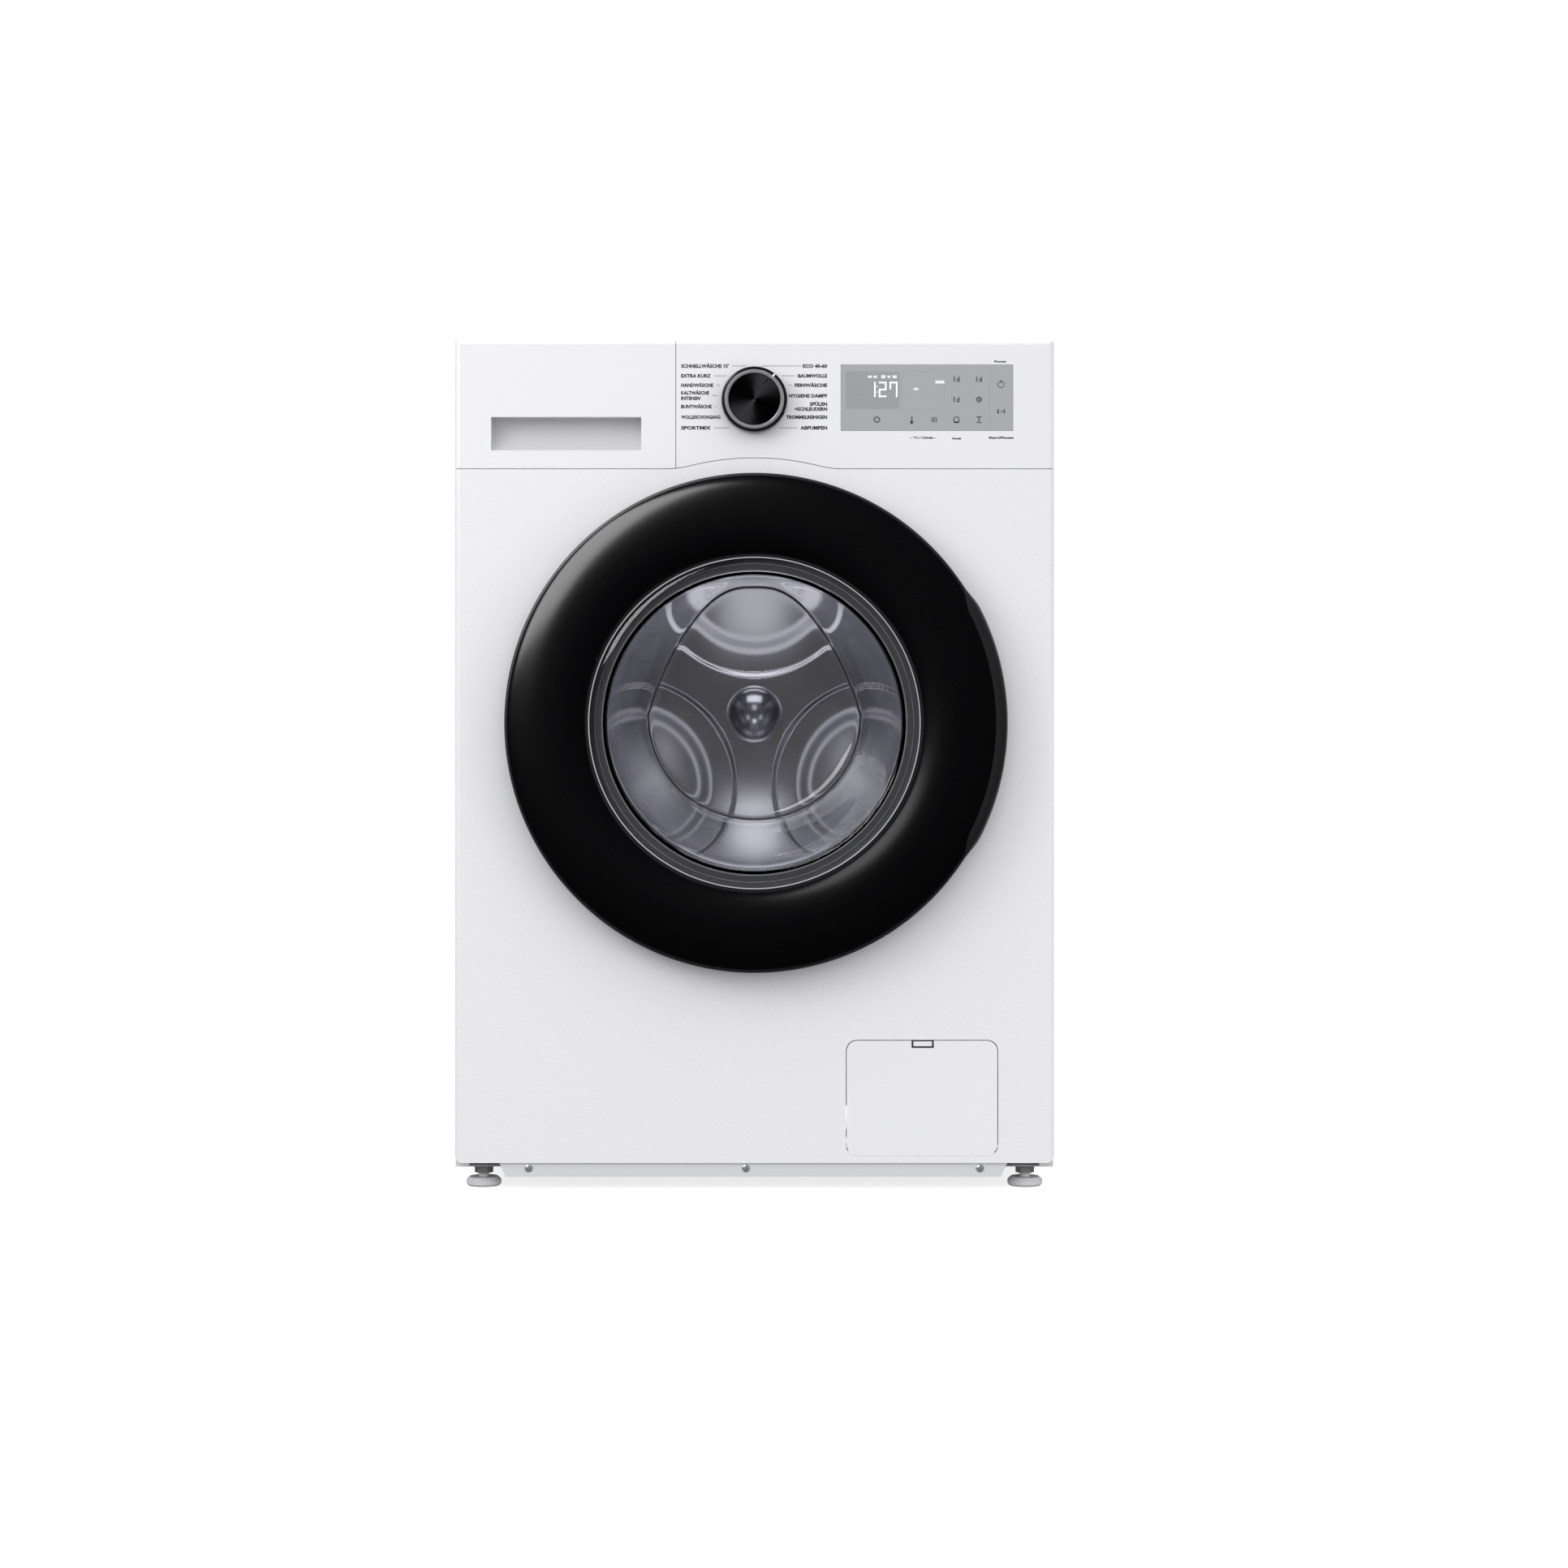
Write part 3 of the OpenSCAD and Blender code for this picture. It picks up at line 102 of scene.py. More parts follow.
# glass, whose bottom has an egg-shaped outline
GLASS_R = 163.0             # outer edge of the glass flange
BOWL_R = 150.4              # bowl's wall where it leaves the flange
GLASS_BACK = -152.5         # deepest point, along Y
GLASS_WALL = 3.4            # thickness of its bottom
GLASS_STATIONS = 160        # points round the glass
EGG_X = 107.0               # half of its width
EGG_MID = 6.0               # height of its widest line over the door's middle
EGG_TOP = 131.0             # from that line up to its top
EGG_LOW = 105.0             # from that line down to its lowest point
EGG_TAPER = 0.36            # how much narrower it gets towards its top
EGG_SHARE = 0.93            # share of the change from circle to egg that the wall takes
FLANGE_FACE = 26.15         # how far the painted highlight lines behind the flange lie in front of the front panel

# drum
DRUM_R = 243.0                    # inside of the wall
DRUM_FRONT = -165.0               # along Y
DRUM_BACK = 146.0                 # along Y
SHEET = 0.8                       # thickness of the steel
HOLE_R = 1.75                     # holes in the wall
LOBE_ANGLES = (90, 210, 330)      # pressed lobes in the drum's back
LOBE_AT = 160.0                   # lobe centres from the axis
LOBE_OUTER = 117.0                # radius of a lobe's outer step
LOBE_INNER = 84.0                 # radius of its inner, soft step
LOBE_STEP = 3.0                   # depth of each of a lobe's two steps
HUB_R = 27.5
HUB_CROWN = 34.0                  # radius of the hub's dome
BACK_STATIONS = 384               # points round the drum's back


# ---------- mesh helpers ----------

def shade(mesh, angle):
    """Smooth shading that stays sharp where faces meet at more than this angle."""
    for polygon in mesh.polygons:
        polygon.use_smooth = True
    mesh.set_sharp_from_angle(angle=math.radians(angle))


def link(name, data):
    """A new object in the scene."""
    obj = bpy.data.objects.new(name, data)
    bpy.context.scene.collection.objects.link(obj)
    return obj


def piece(name, verts, faces, body, slot, material, replaces=(), smooth=35):
    """A mesh from points in mm, riding on a body."""
    mesh = bpy.data.meshes.new(name)
    mesh.from_pydata([tuple(c * MM for c in v) for v in verts], [], faces)
    obj = link(name, mesh)
    bm = bmesh.new()
    bm.from_mesh(mesh)
    bmesh.ops.recalc_face_normals(bm, faces=bm.faces)
    bm.to_mesh(mesh)
    bm.free()
    shade(mesh, smooth)
    mesh.materials.append(material)
    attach(obj, body)
    if replaces:
        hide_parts(*replaces)
    return obj


def thicken(obj, thickness, offset, smooth):
    """Turns a surface into sheet. offset is 1 outwards along its normals, 0 for both sides."""
    modifier = obj.modifiers.new("thick", "SOLIDIFY")
    modifier.thickness = thickness * MM
    modifier.offset = offset
    modifier.use_even_offset = False
    depsgraph = bpy.context.evaluated_depsgraph_get()
    sheet = bpy.data.meshes.new_from_object(obj.evaluated_get(depsgraph))
    obj.modifiers.clear()
    obj.data = sheet
    shade(sheet, smooth)


def polar(radius, degrees):
    """Point on a circle about the origin."""
    angle = math.radians(degrees)
    return radius * math.cos(angle), radius * math.sin(angle)


def ring_faces(points, stations):
    """Quads between stations round an axis, each with the same closed profile."""
    faces = []
    for i in range(stations):
        j = (i + 1) % stations
        for k in range(points):
            m = (k + 1) % points
            faces.append((i * points + k, j * points + k, j * points + m, i * points + m))
    return faces


def sweep(name, profile_at, angles, origin, *args, **kw):
    """Turned piece about a line along Y through origin (x, z). profile_at(angle) gives (radius, y) points."""
    verts = []
    for angle in angles:
        profile = profile_at(angle)
        c, s = polar(1, angle)
        verts += [(origin[0] + r * c, y, origin[1] + r * s) for r, y in profile]
    return piece(name, verts, ring_faces(len(profile), len(angles)), *args, **kw)


def even_angles(count):
    """Angles of stations evenly round an axis, in degrees."""
    return [360 * i / count for i in range(count)]


def lathe(name, profile, origin, *args, **kw):
    """Turned piece with one profile all round."""
    return sweep(name, lambda angle: profile, even_angles(192), origin, *args, **kw)


def ahead(points):
    """(radius, y) points from radii and distances in front of the front panel."""
    return [(r, FRONT - distance) for r, distance in points]


def arc_points(cx, cz, r, start, end, steps=6):
    """Points of an arc from one angle to another."""
    points = []
    for i in range(steps + 1):
        x, z = polar(r, start + (end - start) * i / steps)
        points.append((cx + x, cz + z))
    return points


def round_rect(left, right, bottom, top, r):
    """Outline of a rectangle with rounded corners."""
    return (arc_points(right - r, bottom + r, r, -90, 0) + arc_points(right - r, top - r, r, 0, 90)
            + arc_points(left + r, top - r, r, 90, 180) + arc_points(left + r, bottom + r, r, 180, 270))


def plate(name, outline, y0, y1, *args):
    """Flat plate in X, Z between y0 and y1."""
    n = len(outline)
    verts = [(x, y, z) for y in (y0, y1) for x, z in outline]
    faces = [tuple(range(n)), tuple(range(n, 2 * n))]
    faces += [(i, (i + 1) % n, n + (i + 1) % n, n + i) for i in range(n)]
    return piece(name, verts, faces, *args)


def smoothstep(t):
    """0 up to t = 0, 1 from t = 1, and an S-shaped rise between."""
    t = min(max(t, 0.0), 1.0)
    return t * t * (3 - 2 * t)


def off_axis(angle, middle):
    """Degrees between two directions, 0 to 180."""
    return abs((angle - middle + 180) % 360 - 180)


# ---------- materials ----------

def new_material(name, colour, rough, metallic=0.0, **inputs):
    """Plain material. Other inputs of the shader are given with _ for each space in their names."""
    material = bpy.data.materials.new(name)
    material.use_nodes = True
    shader = material.node_tree.nodes["Principled BSDF"]
    shader.inputs["Base Color"].default_value = (*colour, 1)
    shader.inputs["Roughness"].default_value = rough
    shader.inputs["Metallic"].default_value = metallic
    for key, value in inputs.items():
        shader.inputs[key.replace("_", " ")].default_value = value
    return material


def surface(name, colour, metallic, scale, detail, rough, bump, tone, **inputs):
    """Material with fine noise in its roughness (a range), height (bump, in mm) and tone (a share)."""
    material = new_material(name, colour, sum(rough) / 2, metallic, **inputs)
    tree = material.node_tree
    shader = tree.nodes["Principled BSDF"]
    place = tree.nodes.new("ShaderNodeTexCoord")
    mapping = tree.nodes.new("ShaderNodeMapping")
    mapping.inputs["Scale"].default_value = scale if isinstance(scale, tuple) else (scale,) * 3
    noise = tree.nodes.new("ShaderNodeTexNoise")
    noise.inputs["Scale"].default_value = 1.0
    noise.inputs["Detail"].default_value = detail
    tree.links.new(place.outputs["Object"], mapping.inputs["Vector"])
    tree.links.new(mapping.outputs["Vector"], noise.inputs["Vector"])
    spread = tree.nodes.new("ShaderNodeMapRange")
    spread.inputs["To Min"].default_value = rough[0]
    spread.inputs["To Max"].default_value = rough[1]
    tree.links.new(noise.outputs["Fac"], spread.inputs["Value"])
    tree.links.new(spread.outputs["Result"], shader.inputs["Roughness"])
    mix = tree.nodes.new("ShaderNodeMix")
    mix.data_type = "RGBA"
    mix.inputs["A"].default_value = tuple(c * (1 - tone) for c in colour) + (1,)
    mix.inputs["B"].default_value = tuple(min(1, c * (1 + tone)) for c in colour) + (1,)
    tree.links.new(noise.outputs["Fac"], mix.inputs["Factor"])
    tree.links.new(mix.outputs["Result"], shader.inputs["Base Color"])
    if bump:
        relief = tree.nodes.new("ShaderNodeBump")
        relief.inputs["Strength"].default_value = 1.0
        relief.inputs["Distance"].default_value = bump * MM
        tree.links.new(noise.outputs["Fac"], relief.inputs["Height"])
        tree.links.new(relief.outputs["Normal"], shader.inputs["Normal"])
    return material


# name, colour, metallic, noise scale, noise detail, roughness range, bump in mm, change of tone
SURFACES = {
    "enamel": ("enamel_white", (0.86, 0.86, 0.87), 0, 700, 4, (0.24, 0.32), 0.004, 0.006),
    "white_abs": ("white_plastic", (0.86, 0.86, 0.87), 0, 900, 4, (0.27, 0.34), 0.003, 0.006),
    # painted shade: grey copy of the white plastic that darkens the drawer's handle scoop
    "scoop_painted_shade": ("scoop_painted_shade", (0.60, 0.60, 0.61), 0, 900, 4, (0.32, 0.4), 0.003, 0.006),
    "worktop": ("worktop_white", (0.84, 0.84, 0.85), 0, 1500, 4, (0.34, 0.44), 0.02, 0.01),
    "inner_white": ("moulded_white", (0.78, 0.79, 0.80), 0, 1200, 4, (0.44, 0.58), 0.01, 0.02),
    "zinc": ("galvanised_steel", (0.56, 0.57, 0.58), 0.35, 60, 8, (0.30, 0.52), 0, 0.14),
    "fastener": ("zinc_fastener", (0.42, 0.43, 0.44), 0.45, 400, 4, (0.28, 0.45), 0, 0.08),
    "dark_abs": ("dark_plastic", (0.030, 0.030, 0.033), 0, 1800, 4, (0.36, 0.5), 0.012, 0.1),
    "rim": ("door_rim_black", (0.014, 0.014, 0.015), 0, 1800, 4, (0.32, 0.44), 0.006, 0.08),
    "gloss_black": ("door_gloss_black", (0.0022, 0.0022, 0.0026), 0, 300, 4, (0.21, 0.25), 0.0008, 0.05),
    "soft_black": ("door_inner_black", (0.0022, 0.0022, 0.0026), 0, 300, 4, (0.28, 0.33), 0.0008, 0.05),
    "cover_grey": ("back_cover_grey", (0.20, 0.205, 0.21), 0, 1500, 4, (0.5, 0.62), 0.02, 0.06),
    "pump_grey": ("pump_plastic", (0.10, 0.105, 0.11), 0, 1200, 4, (0.45, 0.58), 0.015, 0.08),
    "tub_grey": ("tub_plastic", (0.42, 0.44, 0.45), 0, 500, 4, (0.48, 0.62), 0.03, 0.05),
    "concrete": ("cast_concrete", (0.40, 0.39, 0.37), 0, 260, 10, (0.82, 0.97), 0.5, 0.18),
    "seal": ("seal_rubber", (0.20, 0.205, 0.215), 0, 900, 4, (0.48, 0.64), 0.01, 0.06),
    "rubber": ("black_rubber", (0.018, 0.018, 0.019), 0, 900, 4, (0.52, 0.7), 0.02, 0.12),
    "gasket": ("gasket_black", (0.010, 0.010, 0.011), 0, 900, 4, (0.3, 0.42), 0, 0.1),
    "cast_alu": ("cast_aluminium", (0.58, 0.58, 0.57), 0.5, 350, 8, (0.34, 0.55), 0.05, 0.08),
    "steel_bright": ("bright_steel", (0.62, 0.63, 0.66), 0.7, 90, 6, (0.18, 0.27), 0, 0.04),
    "motor": ("motor_grey", (0.16, 0.165, 0.17), 0.4, 500, 4, (0.38, 0.55), 0.02, 0.08),
    "spring": ("spring_steel", (0.30, 0.31, 0.32), 0.6, 500, 4, (0.26, 0.42), 0, 0.1),
    "blue": ("siphon_blue", (0.10, 0.25, 0.52), 0, 1200, 4, (0.38, 0.5), 0.01, 0.04),
    "filter_blue": ("filter_blue", (0.05, 0.13, 0.26), 0, 1200, 4, (0.4, 0.52), 0.01, 0.05),
    "foot": ("foot_grey", (0.68, 0.68, 0.68), 0, 900, 4, (0.4, 0.52), 0.01, 0.05),
    "rail": ("rail_grey", (0.68, 0.685, 0.69), 0, 900, 4, (0.4, 0.5), 0.008, 0.02),
    "display": ("display_grey", (0.42, 0.425, 0.43), 0, 600, 4, (0.2, 0.26), 0, 0.01),
    "screen": ("display_screen", (0.36, 0.365, 0.37), 0, 600, 4, (0.18, 0.24), 0, 0.01),
    "print": ("print_grey", (0.018, 0.018, 0.02), 0, 900, 4, (0.45, 0.55), 0, 0.04),
    "print_light": ("print_mid_grey", (0.07, 0.07, 0.075), 0, 900, 4, (0.45, 0.55), 0, 0.04),
    "flange_grey": ("flange_grey", (0.12, 0.122, 0.128), 0, 900, 4, (0.4, 0.5), 0, 0.04),
    # painted highlight: light grey for the thin rings that stand in for glints round the glass
    "painted_glint": ("painted_glint", (0.50, 0.50, 0.52), 0, 900, 4, (0.3, 0.4), 0, 0.04),
    "icon": ("icon_grey", (0.15, 0.152, 0.155), 0, 900, 4, (0.35, 0.45), 0, 0.02),
    "knob_black": ("knob_black", (0.008, 0.008, 0.009), 0, 900, 4, (0.2, 0.3), 0.002, 0.08),
    "knob_chrome": ("knob_chrome", (0.45, 0.45, 0.46), 0.5, 500, 4, (0.18, 0.26), 0, 0.03),
    "knob_metal": ("knob_turned_metal", (0.042, 0.042, 0.046), 1.0, 300, 4, (0.30, 0.38), 0, 0.05),
    "drum": ("drum_steel", (0.56, 0.555, 0.60), 1.0, (30, 200, 30), 3, (0.18, 0.23), 0, 0.03),
}
OTHER_INPUTS = {"enamel": {"Coat_Weight": 0.15}, "soft_black": {"Specular_IOR_Level": 0.16}}
MATERIAL = {key: surface(*row, **OTHER_INPUTS.get(key, {})) for key, row in SURFACES.items()}
WHITE_LIGHT = (1, 1, 1, 1)
MATERIAL["lit_dim"] = new_material("display_dim_light", (0.7, 0.7, 0.7), 0.4,
                                   Emission_Color=WHITE_LIGHT, Emission_Strength=0.2)
MATERIAL["lit"] = new_material("display_light", (0.9, 0.9, 0.9), 0.4,
                               Emission_Color=WHITE_LIGHT, Emission_Strength=0.42)
MATERIAL["glass"] = new_material("bowl_glass", (0.93, 0.94, 0.97), 0.0, Transmission_Weight=1.0, IOR=1.48)

# radial brushing of the knob's cap
knob_tree = MATERIAL["knob_metal"].node_tree
knob_tangent = knob_tree.nodes.new("ShaderNodeTangent")
knob_tangent.direction_type = "RADIAL"
knob_tangent.axis = "Y"
knob_shader = knob_tree.nodes["Principled BSDF"]
knob_shader.inputs["Anisotropic"].default_value = 0.85
knob_tree.links.new(knob_tangent.outputs["Tangent"], knob_shader.inputs["Tangent"])

NODES_BY_MATERIAL = {
    "enamel": ["left_side_panel", "right_side_panel", "front_panel"],
    "worktop": ["top_cover"],
    "white_abs": ["control_fascia", "drawer_front", "filter_flap"],
    "inner_white": ["dispenser_housing", "inlet_valve", "drawer_tray", "drum_lifters", "pump_impeller"],
    "zinc": ["back_panel", "base_frame", "spring_crossbar", "hinge_bracket", "damper_rods"],
    "fastener": ["fasteners"],
    "cover_grey": ["rear_covers", "control_box", "drain_pipe"],
    "dark_abs": ["mains_gland", "door_lock", "door_inner_frame"],
    "pump_grey": ["drain_pump", "damper_cylinders"],
    "display": ["display_window"],
    "rail": ["front_rail"],
    "foot": ["foot_front_left", "foot_front_right", "foot_rear_left", "foot_rear_right"],
    "rim": ["door_rim"],
    "gloss_black": ["door_cover_ring"],
    "gasket": ["glass_gasket"],
    "glass": ["glass_bowl"],
    "cast_alu": ["door_hinge_leaf", "latch_hook", "drum_shaft", "drum_pulley"],
    "blue": ["siphon_cap"],
    "filter_blue": ["filter_cap"],
    "knob_black": ["knob_body"],
    "knob_chrome": ["knob_ring"],
    "knob_metal": ["knob_cap"],
    "tub_grey": ["tub_front", "tub_rear"],
    "concrete": ["counterweight_front", "counterweight_top"],
    "motor": ["motor_body", "motor_rotor"],
    "steel_bright": ["heater_element", "tub_bearings"],
    "rubber": ["drive_belt", "sump_hose", "fill_hose"],
    "seal": ["door_seal"],
    "spring": ["suspension_springs"],
    "drum": ["drum_shell", "drum_back"],
}
for key, node_names in NODES_BY_MATERIAL.items():
    for node_name in node_names:
        materials = NODES[node_name].data.materials
        materials.clear()
        materials.append(MATERIAL[key])


# ---------- door ----------

def grip(angle):
    """1 in the grip's sector, 0 elsewhere, blended between."""
    return smoothstep((GRIP_HALF + GRIP_BLEND / 2 - off_axis(angle, 0)) / GRIP_BLEND)


def crown_y(r):
    """Front surface of the gloss ring at a radius: a quarter of an ellipse each side of its crest."""
    if r >= CREST_R:
        t = (r - CREST_R) / 46.6
    else:
        t = (CREST_R - r) / 33.5
    return CROWN + CREST_DROP * (1 - math.sqrt(max(0.0, 1 - t * t)))


def cover_profile(angle):
    """Gloss ring: its front from the inner edge outwards, then its hollow back."""
    outer = SEAM_R + (SEAM_GRIP_R - SEAM_R) * grip(angle)
    radii = []
    for i in range(RING_STEPS + 1):
        share = 0.5 - 0.5 * math.cos(math.pi * i / RING_STEPS)
        radii.append(RING_IN_R + (outer - RING_IN_R) * share)
    front = [(r, crown_y(r)) for r in radii]
    edge_y = front[-1][1]
    back = [(outer, edge_y + 2.0), (outer - 2.4, edge_y + 2.4)]
    back += [(r, crown_y(r) + 2.5) for r in radii[-4:3:-4]]
    back += ahead([(RING_IN_R + 2.4, RING_BACK), (RING_IN_R, RING_BACK)])
    return front + back


gloss_ring = sweep("door_gloss_ring", cover_profile, even_angles(256), (0, DOOR_Z), "door", "gloss_black",
                   MATERIAL["gloss_black"], replaces=["door_cover_ring"], smooth=40)
gloss_ring.data.materials.append(MATERIAL["soft_black"])
for face in gloss_ring.data.polygons:
    face_x, _, face_z = face.center / MM
    if math.hypot(face_x, face_z - DOOR_Z) < CREST_R:
        face.material_index = 1


def rim_profile(angle):
    """Rim band in front, then its side wall. The back is cut away for the fingers and the hinge's arms."""
    g = grip(angle)
    seam = SEAM_R + SEAM_GAP + (SEAM_GRIP_R - SEAM_R) * g
    outer = DOOR_R + (GRIP_R - DOOR_R) * g
    edge_y = crown_y(seam - SEAM_GAP) + 0.5
    front = [(seam, edge_y)]
    for t in (0.25, 0.5, 0.72, 0.88, 0.97, 1.0):
        slope = (1.6 + 5.2 * g) * t ** 2
        roll = (2.2 + 1.2 * g) * (1 - math.sqrt(1 - (0.999 * t) ** 4))
        front.append((seam + (outer - seam) * t, edge_y + slope + roll))
    inner = RIM_INNER_R - 3 * g
    from_hinge = off_axis(angle, 180)
    if off_axis(angle, 0) < GRIP_POCKET:
        back = [(outer, 21), (outer - 1, 21), (227.5, 21), (227.5, 6.7), (225.3, 6.7), (225.3, 23)]
        back += [(inner, 23)]
    elif HINGE_SLOT[0] < from_hinge < HINGE_SLOT[1]:
        back = [(outer, 29.8), (outer - 1, 29.8), (244, 29.8), (243.6, 29.8), (243.4, 29.9), (242, 30)]
        back += [(240, 30.1)]
    else:
        wall = RIM_HINGE_WALL_R if from_hinge < HINGE_SLOT[0] else RIM_WALL_R
        back = [(outer, 8), (outer - 4 + wall - RIM_WALL_R, 4), (wall, 4), (wall, 6), (wall, 8), (wall, 26)]
        back += [(wall - 3, 28.5)]
    back += [(inner, RING_BACK), (seam, 30.8)]
    return front + ahead(back)


rim_angles = set(even_angles(256))
for cut in (GRIP_POCKET, 180 - HINGE_SLOT[1], 180 - HINGE_SLOT[0], 180 + HINGE_SLOT[0], 180 + HINGE_SLOT[1],
            360 - GRIP_POCKET):
    rim_angles.update((cut - 0.01, cut + 0.01))
sweep("door_rim_band", rim_profile, sorted(rim_angles), (0, DOOR_Z), "door", "dark_plastic",
      MATERIAL["rim"], replaces=["door_rim"], smooth=40)

# grey backing seen through the glass flange
seat_profile = ahead([(150.8, 26.1), (162.8, 26.1), (162.8, 26.0), (150.8, 26.0)])
lathe("glass_seat", seat_profile, (0, DOOR_Z), "door", "dark_plastic", MATERIAL["flange_grey"])

# painted highlights: thin light rings round the glass that stand in for glints on its edge and fine ridges;
# radius, width and distance in front of the front panel
for name, r, width, distance in (("outer", 163.6, 1.1, 33.0), ("middle", 157.4, 0.8, FLANGE_FACE),
                                 ("inner", 150.8, 1.2, FLANGE_FACE)):
    y = FRONT - distance
    line_profile = [(r, y), (r + 0.2, y - 0.15), (r + width - 0.2, y - 0.15), (r + width, y)]
    lathe("flange_glint_ring_" + name, line_profile, (0, DOOR_Z), "door", "dark_plastic", MATERIAL["painted_glint"])


def egg(angle):
    """Outline of the bowl's bottom about the door's centre."""
    c, s = polar(1, angle)
    if s <= 0:
        return EGG_X * c, EGG_MID + EGG_LOW * s
    return EGG_X * math.copysign(abs(c) ** 0.7, c) * (1 - EGG_TAPER * s), EGG_MID + EGG_TOP * s


def bowl_ring(radius, share, scale, y):
    """Ring of points. share is how far it has gone from a circle to the egg; scale shrinks it."""
    ring = []
    for angle in even_angles(GLASS_STATIONS):
        egg_x, egg_z = egg(angle)
        circle_x, circle_z = polar(radius, angle)
        x = (circle_x + (egg_x - circle_x) * share) * scale
        z = (circle_z + (egg_z - circle_z) * share) * scale + EGG_MID * (1 - scale) * share
        ring.append((x, y, DOOR_Z + z))
    return ring


def bowl_skin(radius, flange_y, bottom_y):
    """Rings of one of the glass's two skins: its wall, the rounding at its foot, then its bottom."""
    deep = bottom_y - 11
    rings = []
    for i in range(15):
        t = i / 14
        share = (0.3 * t + 0.7 * smoothstep(t)) * EGG_SHARE
        rings.append((radius, share, 1.0, flange_y + (deep - flange_y) * t ** 0.92))
    for t in (0.25, 0.5, 0.7, 0.85, 0.95):
        bend = math.radians(90 * t)
        share = EGG_SHARE + (1 - EGG_SHARE) * t
        rings.append((radius, share, 1 - 0.10 * (1 - math.cos(bend)), deep + 9.4 * math.sin(bend)))
    for scale in (0.86, 0.78, 0.62, 0.42, 0.22, 0.08, 0.02):
        rings.append((radius, 1.0, scale, bottom_y - 1.6 * scale ** 2))
    return rings


room_side = bowl_skin(BOWL_R - 3.2, FRONT - 29.6, GLASS_BACK - GLASS_WALL)
flange = ahead([(BOWL_R - 2.9, 30.2), (BOWL_R - 1.8, 30.5), (GLASS_R - 1, 30.5), (GLASS_R, 29.5),
                (GLASS_R, 27), (GLASS_R - 0.6, 26.2), (BOWL_R + 1.2, 26.2)])
drum_side = bowl_skin(BOWL_R, FRONT - 26.2, GLASS_BACK)
glass_rings = room_side[::-1] + [(r, 0, 1, y) for r, y in flange] + drum_side
glass_verts = []
for ring in glass_rings:
    glass_verts += bowl_ring(*ring)


def band_faces(rings, stations):
    """Quads between rings of points that follow one another."""
    faces = []
    for k in range(rings - 1):
        here, beyond = k * stations, (k + 1) * stations
        for i in range(stations):
            j = (i + 1) % stations
            faces.append((here + i, here + j, beyond + j, beyond + i))
    return faces


glass_faces = band_faces(len(glass_rings), GLASS_STATIONS)
glass_faces.append(tuple(range(GLASS_STATIONS)))
glass_faces.append(tuple(range(len(glass_verts) - GLASS_STATIONS, len(glass_verts))))
glass = piece("glass_door_bowl", glass_verts, glass_faces, "door", "bowl_glass", MATERIAL["glass"],
              replaces=["glass_bowl"], smooth=50)
glass.visible_shadow = False


# ---------- drum ----------

def pressing_y(r, angle):
    """Front face of the drum's back: raised arms between three dished lobes, and the hub's dome."""
    x, z = polar(r, angle)
    lobe_centres = [polar(LOBE_AT, lobe) for lobe in LOBE_ANGLES]
    from_lobe = min(math.hypot(x - lobe_x, z - lobe_z) for lobe_x, lobe_z in lobe_centres)
    y = DRUM_BACK - 9
    y += LOBE_STEP * smoothstep((LOBE_OUTER + 1.6 - from_lobe) / 3.2)
    y += LOBE_STEP * smoothstep((LOBE_INNER + 10 - from_lobe) / 20)
    rim = smoothstep((r - 224) / 10)
    y += (DRUM_BACK - 1.2 - y) * rim
    if r < HUB_R + 4:
        y += 1.5 * smoothstep((HUB_R + 4 - r) / 3)
    if r < HUB_R:
        y = DRUM_BACK - 7.5 - math.sqrt(HUB_CROWN ** 2 - r ** 2) + math.sqrt(HUB_CROWN ** 2 - HUB_R ** 2)
    return y


hub_foot = HUB_R + 0.3
back_radii = [0.4] + [polar(HUB_R, 90 * i / 12)[1] for i in range(1, 12)] + [HUB_R - 0.05, hub_foot]
back_radii += [hub_foot + (DRUM_R - 0.6 - hub_foot) * i / 84 for i in range(1, 85)]
back_verts = []
for r in back_radii:
    for angle in even_angles(BACK_STATIONS):
        x, z = polar(r, angle)
        back_verts.append((x, pressing_y(r, angle), DRUM_Z + z))
back_faces = band_faces(len(back_radii), BACK_STATIONS) + [tuple(range(BACK_STATIONS))]
drum_back = piece("drum_pressed_back", back_verts, back_faces, "drum", "drum_steel", MATERIAL["drum"],
                  replaces=["drum_back"], smooth=50)
thicken(drum_back, SHEET, offset=1, smooth=50)


def perforated_wall(columns=216, rows=38):
    """Cylinder wall with an eight-sided hole in every other cell."""
    wall_r = DRUM_R + 0.4
    y0 = DRUM_FRONT + 7
    length = DRUM_BACK + 6 - y0
    verts = []
    faces = []
    index = {}

    def at(u, v):
        """Number of the point at column u and row v, which don't have to be whole."""
        key = (round(u % columns, 4), round(v, 4))
        if key not in index:
            index[key] = len(verts)
            x, z = polar(wall_r, 360 * u / columns)
            verts.append((x, y0 + length * v / rows, DRUM_Z + z))
        return index[key]

    hole_u = HOLE_R / (2 * math.pi * DRUM_R / columns)
    hole_v = HOLE_R / (length / rows)
    for i in range(columns):
        for k in range(rows):
            corner = [at(i, k), at(i + 1, k), at(i + 1, k + 1), at(i, k + 1)]
            if (i + k) % 2 or k in (0, rows - 1):
                faces.append(tuple(corner))
                continue
            hole = []
            for angle in (247.5, 292.5, 337.5, 22.5, 67.5, 112.5, 157.5, 202.5):
                c, s = polar(1, angle)
                hole.append(at(i + 0.5 + hole_u * c, k + 0.5 + hole_v * s))
            for j in range(4):
                beyond = corner[(j + 1) % 4]
                faces.append((corner[j], beyond, hole[2 * j + 1], hole[2 * j]))
                faces.append((beyond, hole[(2 * j + 2) % 8], hole[2 * j + 1]))
    return verts, faces


